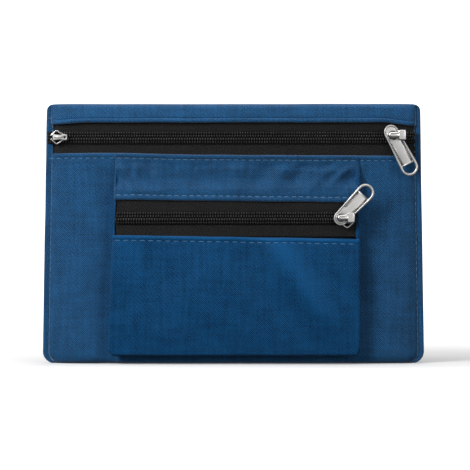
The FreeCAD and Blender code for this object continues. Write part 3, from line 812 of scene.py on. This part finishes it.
def pocket_upper():
    """Pocket front above its zip: gathered a little under the sewn row."""

    def point(s, t):
        rough = mix(pocket_low.x, pocket_high.x, s)
        high = lower_lip(rough) - 0.7
        low = pocket_upper_edge(rough)
        z = mix(low, high, t)
        x, back = turned(s, pocket_edge(z, -1), pocket_edge(z, 1), FOLD_RADIUS)
        under_row = lower_lip(x) - LIP_ROW - z
        free = smooth(0, 6, under_row)
        # The main pull sweeps past the top of the flap, so only lower cloth may stand proud.
        proud = 6 * (1 - smooth(94, 106.5, z))
        y = max(pocket_face(x, z, []), MAIN_PULL_BACK + FLAP_CLEAR - proud)
        y -= sum(crease(x, z, *c) for c in UPPER_CREASES)
        y = mix(FRONT_Y - 1.0, y, free)
        pucker = 0.6 * free * (1 - smooth(4, 11, under_row))
        y += pucker * ripple(x, z * 0.2, 3.2, 71.5)
        y -= lip_swell(z - low) + (1 - free) * lip_swell(lower_lip(x) - z)
        y = max(y, MAIN_PULL_BACK + CREASE_CLEAR - proud)
        return (x, y + back, z)

    return cloth_piece("pocket_upper_cloth", "pocket_upper_panel", 220, 60, point, flap_cloth_painted_shade, CLOTH)


def pocket_upper_edge(x):
    """Height of the pocket cloth's open edge over the pocket zip."""
    return POCKET_LIP_UPPER - 0.012 * x + 0.2 * ripple(x, 0, 16, 76.5)


def pocket_lower_edge(x):
    """Height of the pocket cloth's open edge under the pocket zip."""
    return POCKET_LIP_LOWER - 0.0165 * x + 0.2 * ripple(x, 0, 16, 79.5)


def pocket_lower():
    """Pocket front below its zip, with its bottom turned under."""
    corner = 4.4
    bend = 1.4

    def point(s, t):
        rough = mix(pocket_low.x, pocket_high.x, s)
        high = pocket_lower_edge(rough)
        low = pocket_low.z
        z = low + (high - low) * (t ** 1.15)
        cut = 0.45 * max(corner - (z - low), 0.0)
        x, back = turned(s, pocket_edge(z, -1) + cut, pocket_edge(z, 1) - cut, FOLD_RADIUS)
        y = pocket_face(x, z, LOWER_CREASES)
        drop = max(bend - (z - low), 0.0) / bend
        under = bend * (1 - sqrt(1 - min(drop, 1.0) ** 2 * 0.98))
        y -= lip_swell(high - z)
        return (x, y + max(back, under), z)

    return cloth_piece("pocket_lower_cloth", "pocket_lower_panel", 220, 110, point, pocket_cloth_painted_shade_and_highlights,
                       CLOTH)


def pocket_floor():
    """Folded floor of the pocket."""
    low, high = span("pocket_bottom_pleat")

    def point(s, t):
        x = mix(low.x, high.x, s)
        near = POCKET_Y + 1.6
        far = front_shell(x, 4.0) - 0.1
        fold = 2.9 * sin(pi * t)
        return (x, mix(near, far, t), low.z + 0.1 + fold)

    return cloth_piece("pocket_floor_cloth", "pocket_bottom_pleat", 110, 12, point, pocket_cloth_painted_shade_and_highlights,
                       CLOTH * 0.7, 0)


def pocket_side(name, side, node):
    """Gusset between the pocket's front fold and the front panel, creased inwards.

    Beside the pocket zip it turns round the fold, over the ends of the tapes.
    """
    low = pocket_low.z + 2.0
    high = shoulder_high.z - 2.2
    wrap = 0.3

    def point(s, t):
        z = mix(low, high, t)
        edge = pocket_edge(z, side)
        front = pocket_face(edge, z, []) + 0.5
        beside = smooth(POCKET_LIP_LOWER - 4, POCKET_LIP_LOWER - 1, z)
        beside *= 1 - smooth(POCKET_LIP_UPPER + 1, POCKET_LIP_UPPER + 4, z)
        if s < wrap:
            turn = pi / 2 * s / wrap
            inner = 0.7 + (0.9 + 0.5 * side) * beside * cos(turn)
            return (edge - side * inner, front + 0.5 * sin(turn), z)
        share = (s - wrap) / (1 - wrap)
        far = front_shell(edge, z) - 0.1
        near = front + 0.5
        tuck_in = 2.4 * (1 - beside) * sin(pi * share) * smooth(0, 5, far - near)
        return (edge - side * (0.7 + tuck_in), mix(near, far, share), z)

    return cloth_piece(name, node, 20, 110, point, pocket_cloth_painted_shade_and_highlights, CLOTH * 0.7, 0)


# ---- zips


def tape_piece(name, node, left, right, pinch):
    """One woven tape: a ribbed band with a soft edge, rising towards the coil."""
    low, high = span(node)

    def point(s, t):
        x = mix(left, right, s)
        near = t if "upper" in node else 1 - t
        z = mix(low.z, high.z, t)
        y = low.y + 0.05 + 0.16 * ripple(x, z, 9, 88.5) + 0.15 * smooth(0.35, 0.25, near)
        y += pinch * (smooth(right - 5, right, x) + smooth(left + 5, left, x))
        return (x, y, z)

    return cloth_piece(name, node, 150, 14, point, tape_cloth, 0.5, slot="zip_tape")


def coil_piece(name, node, left, right, middle):
    """One row of nylon coil: a bar for each turn, waisted where it is sewn down.

    Its heads reach just past the zip's middle, between those of the other row.
    """
    low, high = span(node)
    upper = low.z > middle
    near = middle + (-0.25 if upper else 0.25)
    far = high.z if upper else low.z
    count = int((right - left) / COIL_PITCH)
    shape = Shape()
    steps = 14
    for i in range(count):
        x = left + COIL_PITCH * (i + (0.5 if upper else 0.0))
        tilt = 0.14 * (-1) ** i
        path = []
        radii = []
        for k in range(steps + 1):
            t = k / steps
            hump = 0.9 * exp(-((t - 0.34) / 0.11) ** 2) + 0.8 * exp(-((t - 0.86) / 0.08) ** 2)
            path.append((x + tilt * (t - 0.5), high.y - 0.55 - 0.95 * hump, mix(near, far, t)))
            radii.append(0.12 + 0.3 * hump)
        shape.tube(path, radii, sides=7)
    shape.piece(name, "pouch", black_nylon, "zip_coil", [node])


def coil_thread_and_shade_bed(name, node, left, right):
    """The black thread that a coil is sewn down with: loops over its waist, and a near-black bed
    behind it as painted shade.
    """
    low, high = span(node)
    middle = (low.z + high.z) / 2
    shape = Shape()
    # The bed fills the gaps between the turns and reaches past the coil's lower edge: painted shade.
    shape.block((left, high.y - 0.9, low.z - 0.7), (right, high.y - 0.5, high.z + 0.2), 0.15)
    for i in range(int((right - left) / COIL_PITCH)):
        x = left + COIL_PITCH * (i + 0.5)
        path = []
        for k in range(5):
            t = k / 4
            path.append((x + COIL_PITCH * (t - 0.5), high.y - 1.6 - 0.2 * sin(pi * t),
                         middle + 0.2 * sin(2 * pi * t)))
        shape.tube(path, 0.22, sides=5)
    shape.piece(name, "pouch", black_thread, "zip_tape")


def zip_stops():
    """Two crimped metal stops past the right end of the main coils."""
    low, high = span("main_zip_stops")
    middle = (low.z + high.z) / 2
    shape = Shape()
    for bottom, top in ((low.z + 0.5, middle - 0.6), (middle + 0.6, high.z - 0.5)):
        shape.block((low.x + 0.3, low.y + 0.2, bottom), (high.x - 0.3, high.y + 0.3, top), 0.35)
    shape.piece("zip_stop_clips", "pouch", dark_nickel_painted_shade, "plated_metal", ["main_zip_stops"])


# ---- sewing


def sewn_row(shape, path, pitch, length, radius, out=(0, -1, 0)):
    """Stitches along a path of points: each is a short thread that dips in at its ends."""
    path = [Vector(p) for p in path]
    out = Vector(out)
    marks = [0.0]
    for a, b in zip(path, path[1:]):
        marks.append(marks[-1] + (b - a).length)

    def at(distance):
        index = 1
        while index < len(marks) - 1 and marks[index] < distance:
            index += 1
        share = (distance - marks[index - 1]) / (marks[index] - marks[index - 1])
        return path[index - 1].lerp(path[index], share)

    steps = 6
    for i in range(int(marks[-1] / pitch)):
        start = max(pitch * i + 0.3 * noise.noise(Vector((i * 0.7, pitch, len(path)))), 0.0)
        end = min(start + length, marks[-1])
        thread = []
        radii = []
        for k in range(steps + 1):
            t = k / steps
            hump = sin(pi * t)
            thread.append(at(mix(start, end, t)) + out * (radius * (1.6 * hump - 1.0)))
            radii.append(radius * (0.55 + 0.45 * hump))
        shape.tube(thread, radii, sides=6)


def route(low, high, point, step=1.0):
    """Points from low to high along one axis, each worked out by point."""
    count = int((high - low) / step)
    return [point(low + (high - low) * i / count) for i in range(count + 1)]


def header_front_depth(x, z):
    """Depth of the header's front face at its sewn row."""
    return pinched(x, FRONT_Y + 0.28 + header_ripple(x, z), z, -1) - CLOTH / 2


def pocket_ends(z):
    """Where a row across the pocket starts and ends at a height."""
    return pocket_edge(z, -1) + 1, pocket_edge(z, 1) - 1


def front_stitching(pitch, length, radius):
    """The level rows on the front: each with its ends, height, depth, spacing and thickness."""
    shape = Shape()
    end = inner_half(130.0) + 2
    left = pocket_low.x + 1
    right = pocket_high.x - 1

    def under_zip(x):
        return lower_lip(x) - LIP_ROW

    def panel_depth(x, z):
        return front_shell(x, z) + 0.28 * dome(x, z)

    for ends, height, depth, spacing, thick in (
            ((-end, end), lambda x: upper_lip(0) + HEADER_ROW, header_front_depth, 1.0, 1.0),
            ((-end, left), under_zip, panel_depth, 1.0, 1.0),
            ((right, end), under_zip, panel_depth, 1.0, 1.0),
            ((left, right), under_zip, lambda x, z: FRONT_Y - 0.85, 1.0, 1.0),
            (pocket_ends(POCKET_LIP_UPPER), lambda x: pocket_upper_edge(x) + LIP_ROW,
             lambda x, z: pocket_face(x, z, UPPER_CREASES) + 0.25, 1.0, 1.05),
            (pocket_ends(POCKET_LIP_LOWER), lambda x: pocket_lower_edge(x) - LIP_ROW,
             lambda x, z: pocket_face(x, z, LOWER_CREASES) + 0.25, 1.15, 1.05)):
        def point(x, height=height, depth=depth):
            return (x, depth(x, height(x)), height(x))

        sewn_row(shape, route(*ends, point), pitch * spacing, length * spacing, radius * thick)
    shape.piece("front_stitching", "pouch", light_thread, "blue_fabric")


def side_stitching(pitch, length, radius):
    """One upright row on the front and one on the back of each side seam."""
    shape = Shape()
    margin = 4
    for side in (-1, 1):
        for face in (-1, 1):
            def point(z, side=side, face=face):
                return (side * (inner_half(z) + 0.15), seam_y(z) + face * SEAM_HALF_THICK * 0.95, z)

            sewn_row(shape, route(margin, HEIGHT - margin, point), pitch * 0.9, length * 0.85, radius,
                     out=(0, face, 0))
    shape.piece("side_stitching", "pouch", light_thread, "blue_fabric")


# ---- sliders


def slider_outline(mouth):
    """Plate outline: two lobes towards the mouth, a narrow tail, and the open mouth between."""
    half = [(5.0, 0.95), (1.6, 4.05), (0.7, 4.05), (-2.6, 1.7), (-5.0, 1.3)]
    outer = half + [(x, -z) for x, z in reversed(half)]
    notch = [(4.4, -0.55), (1.9, -1.1), (1.9, 1.1), (4.4, 0.55)]
    rim = rounded([(x * mouth, z) for x, z in outer], 0.9)
    plate = rounded([(x * mouth, z) for x, z in outer + notch], 0.6)
    return rim, plate


def opened(outline, mouth, limit):
    """An outline without its part past a limit at the mouth, starting beside that gap."""
    kept = [p for p in outline if p.x * mouth < limit]
    beside_gap = [i for i in range(len(kept)) if (kept[i] - kept[i - 1]).length > 1.2]
    start = max(beside_gap, key=lambda i: kept[i].x * mouth)
    return kept[start:] + kept[:start]


def slider_casting(slider, mouth, middle_z):
    """Cast slider body: slotted front plate with a raised rim, back plate, post and side rails."""
    low, high = span(slider + "_body")
    rim, plate = slider_outline(mouth)
    slot = [(-1.5, 1.6), (0.6, 3.2), (1.7, 3.2), (3.5, 1.8), (2.2, 1.5)]
    slots = [rounded([(x * mouth, z * side) for x, z in slot], 0.3) for side in (-1, 1)]
    plates = Shape()
    plates.tablet([plate] + slots, low.y + 0.75, low.y + 0.4, 0.12)
    plates.tablet([plate] + slots, high.y, high.y - 0.5, 0.15)
    shape = Shape()
    tail = Vector((-1.0 * mouth, 0.0))
    inset = [tail + (Vector(p) - tail) * 0.9 for p in rim]
    shape.tube([(p.x, low.y + 0.25, p.y) for p in opened(inset, mouth, 4.2)], 0.5, sides=10)
    front = low.y + 0.4
    # The post, and the rail on each side, with half their widths.
    for x, half_x, z, half_z, back, rounding in (
            (1.4, 0.6, 0.0, 0.35, 0.4, 0.15), (1.1, 1.2, -3.3, 0.25, 2.0, 0.2),
            (1.1, 1.2, 3.3, 0.25, 2.0, 0.2)):
        shape.block((mouth * x - half_x, front, z - half_z),
                    (mouth * x + half_x, high.y - back, z + half_z), rounding)
    for part in (shape, plates):
        part.move(Matrix.Translation(((low.x + high.x) / 2, 0, middle_z)))
    name = slider + "_casting"
    # The plates are near-black nickel: painted shade where they show between the rim, the slots and
    # the bridge.
    plates.piece(name + "_plates_painted_shade", slider, dark_nickel_painted_shade, "plated_metal")
    shape.piece(name, slider, nickel, "plated_metal", [slider + "_body"])


def slider_arch(slider):
    """Bridge of a slider with a pull: round post, half-round bar, front leg and wide nose."""
    low, high = span(slider + "_bridge")
    z = (low.z + high.z) / 2
    shape = Shape()
    thick = 1.5
    post_x = low.x + 1.1
    bar_y = low.y + thick
    bar = []
    steps = 14
    reach = high.x - 2.6
    for i in range(steps + 1):
        t = i / steps
        x = low.x + 0.25 + (reach - low.x) * t
        rise = 0.35 * sin(pi * min(t * 1.15, 1.0))
        bar.append((x, low.y + thick / 2 + 0.1 - rise, z))
    radii = [1.75 * (1 - abs(2 * i / steps - 1) ** 7 * 0.45) for i in range(steps + 1)]
    shape.tube(bar, radii, sides=20, flat=0.46)
    post = [bar_y - 0.3, bar_y + 0.4, high.y - 0.4, high.y + 0.15]
    shape.tube([(post_x, y, z) for y in post], [0.9, 0.9, 0.9, 1.15], sides=18)
    shape.block((high.x - 4.4, low.y, low.z), (high.x, bar_y, high.z), 0.65, 4)
    shape.block((high.x - 1.0, bar_y - 0.4, z - 0.85), (high.x - 0.05, high.y + 0.15, z + 0.85), 0.25)
    shape.piece(slider + "_arch", slider, nickel, "plated_metal", [slider + "_bridge"])


def left_arch():
    """Low bridge of the slider with no pull: a bar with a small hole in its end."""
    low, high = span("left_slider_bridge")
    z = (low.z + high.z) / 2
    half = (high.z - low.z) / 2
    shape = Shape()
    bar_front = low.y
    bar_back = bar_front + 1.0
    waist = high.x - 4.0
    outline = rounded([(low.x - 1.2, z - half), (waist, z - half * 0.7), (high.x, z - half),
                       (high.x, z + half), (waist, z + half * 0.7), (low.x - 1.2, z + half)], 0.6)
    hole = arc((high.x - 1.35, z), 0.75, 0, 345, 15)
    shape.tablet([outline, hole], bar_back, bar_front, 0.25)
    ridge = [(low.x - 0.6, bar_front + 0.1, z), (low.x + 2.0, bar_front - 0.1, z),
             (high.x - 2.4, bar_front + 0.1, z)]
    shape.tube(ridge, [0.5, 0.75, 0.45], sides=12, flat=0.5)
    for x in (low.x + 0.1, high.x - 3.0):
        shape.block((x, bar_back - 0.2, z - 0.7), (x + 0.9, high.y + 0.15, z + 0.7), 0.2)
    shape.piece("left_slider_arch", "left_slider", satin_nickel, "plated_metal",
                ["left_slider_bridge"])


# ---- pulls


def tapered_loop(top, top_radius, low, low_radius, steps=20):
    """A closed path round two circles, one above the other, and their tangent lines."""
    tilt = degrees(asin((low_radius - top_radius) / (top[1] - low[1])))
    upper = arc(top, top_radius, tilt, 180 - tilt, steps)
    lower = arc(low, low_radius, 180 - tilt, 360 + tilt, steps)
    path = []
    for run in (upper, lower):
        last = Vector(run[-1])
        path.extend(Vector(p) for p in run)
        other = lower[0] if run is upper else upper[0]
        gap = Vector(other) - last
        pieces = 12
        path.extend(last + gap * (i / pieces) for i in range(1, pieces))
    return path


def pull_tab(node, lean, eye, hole, hole_radius, reach, down):
    """Pull tab: a round rim, a flat eye, a raised panel between milled grooves, a finger hole.

    It is drawn hanging down from the pin at the origin, and then turned to its place.
    """
    low, high = span(node)
    middle_y = (low.y + high.y) / 2
    eye_x, eye_z = eye
    eye_radius = 4.1
    end_radius = 5.1
    thin = 0.42
    wide = 0.8
    base = -reach + 2.1
    shape = Shape()
    loop = tapered_loop(eye, eye_radius - thin, (eye_x, -reach), end_radius - wide)
    radii = [thin + (wide - thin) * smooth(eye_z - 6, base - 1, p.y) for p in loop]
    shape.tube([(p.x, middle_y - 0.1, p.y) for p in loop], radii, sides=14, closed=True)
    top_half = 2.3
    base_half = 2.55
    shoulder = eye_z - 5.4
    face_radius = eye_radius - 2 * thin - 0.2
    face = arc(eye, face_radius, -8, 188, 40)
    outline = face + [(eye_x - face_radius - 0.1, shoulder), (eye_x - top_half, shoulder - 0.9),
                      (eye_x - base_half, base), (eye_x + base_half, base),
                      (eye_x + top_half, shoulder - 0.9), (eye_x + face_radius + 0.1, shoulder)]
    shape.tablet([outline, arc(hole, hole_radius, 0, 350, 35)], middle_y + 0.55, middle_y - 0.35, 0.12)
    hole_rim = arc(hole, hole_radius + 0.28, 0, 350, 35)
    shape.tube([(p[0], middle_y - 0.25, p[1]) for p in hole_rim], 0.28, sides=8, closed=True)
    bar = [(eye_x - 4.1, middle_y, base), (eye_x + 4.1, middle_y, base)]
    shape.tube(bar, 0.55, sides=12)
    for side in (-1, 1):
        edge = [(eye_x + side * top_half, middle_y - 0.25, shoulder - 0.9),
                (eye_x + side * base_half, middle_y - 0.25, base)]
        shape.tube(edge, 0.24, sides=8)
    beads(shape, eye_x, shoulder - 0.6, base + 0.8, middle_y, top_half, base_half)
    groove = Shape()
    back = arc(eye, eye_radius - thin, -8, 188, 30)
    groove.tablet([back + [(eye_x - 4.3, base), (eye_x + 4.3, base)],
                   arc(hole, hole_radius + 0.1, 0, 350, 35)],
                  middle_y + 0.45, middle_y + 0.1, 0.1)
    turn = -lean if down else 180 + lean
    pivot = [j for j in frame["joints"] if j["name"] == node + "_swing"][0]["pos_m"]
    place = Matrix.Translation((pivot[0] / MM, 0, pivot[2] / MM))
    for part in (shape, groove):
        part.move(place @ Matrix.Rotation(radians(turn), 4, "Y"))
    # The groove sheet behind the panel is near-black nickel: painted shade in the milled grooves.
    groove.piece(node + "_tab_groove_painted_shade", node, dark_nickel_painted_shade, "plated_metal")
    shape.piece(node + "_tab", node, satin_nickel, "plated_metal", [node])


def beads(shape, x, high, low, y, top_half, base_half):
    """Milled teeth across the two grooves beside the panel."""
    pitch = 1.0
    count = int((high - low) / pitch)
    for side in (-1, 1):
        for i in range(count):
            z = high - pitch * i
            near = top_half + (base_half - top_half) * i / count
            far = 3.1 + 0.9 * i / count
            shape.tube([(x + side * near, y - 0.15, z), (x + side * far, y - 0.15, z + 0.25)],
                       0.24, sides=6)


# ---- stage

# The sweep's glow stays off further out on the right of the pouch than on its left, in metres: a
# painted shadow shape on the floor.
SHADE_SHIFT = 0.012


def cyclorama():
    """Pale floor that sweeps up into a wall behind the pouch."""
    shape = Shape()
    half_width = 3000.0
    near = -2500.0
    bend = 900.0
    radius = 700.0
    top = 2600.0
    bend_start, bend_end = 0.4, 0.7

    def point(s, t):
        x = (2 * s - 1) * half_width
        if t < bend_start:
            return (x, mix(near, bend, t / bend_start), 0.0)
        if t < bend_end:
            angle = pi / 2 * (t - bend_start) / (bend_end - bend_start)
            return (x, bend + radius * sin(angle), radius * (1 - cos(angle)))
        return (x, bend + radius, mix(radius, top, (t - bend_end) / (1 - bend_end)))

    shape.grid(10, 60, point)
    net = Material("paper_sweep")
    place = net.add("TexCoord").outputs["Object"]
    fibre = net.noise(place, 300.0, 3.0)
    # The sweep glows less close to the pouch, so that its shadow shows there: the shadow is cast by
    # the lamps, and where it shows is set by this painted falloff of the glow.
    axes = net.add("SeparateXYZ", Vector=place).outputs
    aside = net.math("ABSOLUTE", net.math("SUBTRACT", axes["X"], SHADE_SHIFT))
    past_side = net.math("SUBTRACT", aside, SHADE_SHIFT + BASE_HALF * MM)
    in_front = net.math("MULTIPLY", axes["Y"], -1.0)
    behind = net.math("MULTIPLY", axes["Y"], 0.5)
    away = net.add("CombineXYZ", X=net.math("MAXIMUM", past_side, 0.0),
                   Y=net.math("MAXIMUM", in_front, behind)).outputs[0]
    reach = net.add("VectorMath", operation="LENGTH")
    net.feed(reach.inputs[0], away)
    distance = reach.outputs["Value"]
    near_glow = net.range(distance, 0.1, 0.34, 0.0, 0.08, interpolation_type="SMOOTHSTEP")
    far_glow = net.range(distance, 0.0, 0.8, 0.05, 0.25, clamp=True)
    net.finish(net.ramp(fibre, (0.93, 0.93, 0.93), (0.96, 0.96, 0.96)), 0.9, fibre, 0.01,
               Emission_Color=(1, 1, 1, 1), Emission_Strength=net.math("ADD", near_glow, far_glow),
               Specular_IOR_Level=0.0)
    mesh = bpy.data.meshes.new("sweep")
    mesh.from_pydata([p * MM for p in shape.points], [], shape.faces)
    mesh.shade_smooth()
    mesh.materials.append(net.material)
    sweep = place_object("sweep", mesh)
    sweep.visible_diffuse = False
    sweep.visible_glossy = False


def softbox(name, place, target, size, power):
    data = bpy.data.lights.new(name, "AREA")
    data.shape = "RECTANGLE"
    data.size = size[0]
    data.size_y = size[1]
    data.energy = power
    light = place_object(name, data)
    light.location = place
    light.rotation_euler = (Vector(target) - Vector(place)).to_track_quat("-Z", "Y").to_euler()
    return light


def lighting():
    """A soft key from the upper left, a weak fill from the right, and a pale room."""
    room_lights = 0.08
    room_shows = 0.97
    middle = (0, 0, HEIGHT * MM / 2)
    softbox("key", (-0.62, -0.6, 0.5), middle, (0.36, 0.36), 7.0)
    softbox("overhead", (0.05, 0.0, 0.9), (0, 0.02, 0), (0.9, 0.7), 4.6)
    softbox("fill", (0.7, -1.0, 0.3), middle, (0.6, 0.6), 2.9)
    card = softbox("card", (0.0, -1.9, 0.3), middle, (1.6, 1.6), 5.0)
    card.visible_diffuse = False
    world = bpy.data.worlds.new("room")
    world.use_nodes = True
    tree = world.node_tree
    room = tree.nodes["Background"]
    room.inputs["Color"].default_value = (1.0, 1.0, 1.0, 1)
    seen = tree.nodes.new("ShaderNodeLightPath")
    strength = tree.nodes.new("ShaderNodeMapRange")
    strength.inputs["To Min"].default_value = room_lights
    strength.inputs["To Max"].default_value = room_shows
    tree.links.new(seen.outputs["Is Camera Ray"], strength.inputs["Value"])
    tree.links.new(strength.outputs["Result"], room.inputs["Strength"])
    bpy.context.scene.world = world
    bpy.context.scene.view_settings.view_transform = "Standard"


def camera():
    """Nearly level view of the front, as far away as a long lens needs."""
    shown_width = 269.3
    aim = Vector((0.9, -1.0, 73.4))
    lift = radians(1.2)
    data = bpy.data.cameras.new("camera")
    data.lens = 200.0
    data.sensor_width = 36.0
    distance = shown_width * data.lens / data.sensor_width
    view = place_object("camera", data)
    view.location = (aim + Vector((0, -distance * cos(lift), distance * sin(lift)))) * MM
    view.rotation_euler = (aim * MM - view.location).to_track_quat("-Z", "Y").to_euler()
    data.clip_end = 20.0
    bpy.context.scene.camera = view


# ---- build

camera()
lighting()
cyclorama()
front = front_cloth()
back = back_cloth()
base = base_cloth()
header = header_cloth()
front_lining = lining("front_lining_cloth", "front_lining", front_shell, 1)
back_lining = lining("back_lining_cloth", "back_lining", back_shell, -1)
seam_strip("left_seam", -1, "left_edge_binding")
seam_strip("right_seam", 1, "right_edge_binding")
upper_front = pocket_upper()
lower_front = pocket_lower()
floor_fold = pocket_floor()
left_gusset = pocket_side("pocket_left_gusset", -1, "pocket_left_pleat")
right_gusset = pocket_side("pocket_right_gusset", 1, "pocket_right_pleat")
# Each zip: the ends of its tapes, how far they pinch back, their cut length, and its coil's ends.
ZIPS = (
    ("main", TAPE_LEFT, TAPE_RIGHT, 1.0, 206, coil_low.x - 1.2, coil_high.x, MAIN_ZIP_Z),
    ("pocket", pocket_tape_low.x, pocket_tape_high.x, 0.0, 137, pocket_coil_low.x,
     pocket_coil_high.x, POCKET_ZIP_Z),
)
for row in ("upper", "lower"):
    for zip_name, tape_left, tape_right, pinch, cut, left, right, middle in ZIPS:
        piece = "%s_%s" % (zip_name, row)
        node = "%s_zip_%s" % (zip_name, row)
        tape_piece(piece + "_tape", node + "_tape", tape_left, tape_right, pinch)
        coil_piece(piece + "_coil", node + "_coil", left, right, middle)
        coil_thread_and_shade_bed(piece + "_coil_thread_and_shade_bed", node + "_coil", left, right)
zip_stops()
front_stitching(STITCH_PITCH, STITCH_LENGTH, STITCH_RADIUS)
side_stitching(STITCH_PITCH, STITCH_LENGTH, STITCH_RADIUS)
slider_casting("main_slider", 1, MAIN_ZIP_Z)
slider_casting("pocket_slider", 1, POCKET_ZIP_Z - POCKET_CASTING_DROP)
slider_casting("left_slider", -1, MAIN_ZIP_Z)
slider_arch("main_slider")
slider_arch("pocket_slider")
left_arch()
pull_tab("main_pull", lean=27.6, eye=(1.4, 1.2), hole=(1.25, -0.95), hole_radius=2.65,
         reach=21.2, down=True)
pull_tab("pocket_pull", lean=44.0, eye=(-1.0, -0.8), hole=(-0.9, -0.87), hole_radius=2.35,
         reach=20.7, down=False)

# Each sheet: the width and length it was cut to, how it is held, and on what.
for piece, width, length, held, resting in (
        (front, 219, 123, "stretched", ["left_seam", "right_seam"]),
        (back, 219, 140, "stretched", ["left_seam", "right_seam"]),
        (base, 205, 13, "stretched", ["front_panel_cloth", "back_panel_cloth"]),
        (header, 209, 34, "folded", ["left_seam", "right_seam"]),
        (upper_front, 145, 26, "gathered", ["front_panel_cloth"]),
        (lower_front, 152, 78, "stretched", ["front_panel_cloth"]),
        (floor_fold, 140, 10, "folded", ["front_panel_cloth"]),
        (left_gusset, 12, 105, "folded", ["front_panel_cloth"]),
        (right_gusset, 12, 105, "folded", ["front_panel_cloth"]),
        (front_lining, 204, 114, "hung", ["front_panel_cloth"]),
        (back_lining, 204, 130, "hung", ["back_panel_cloth"])):
    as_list(resting)
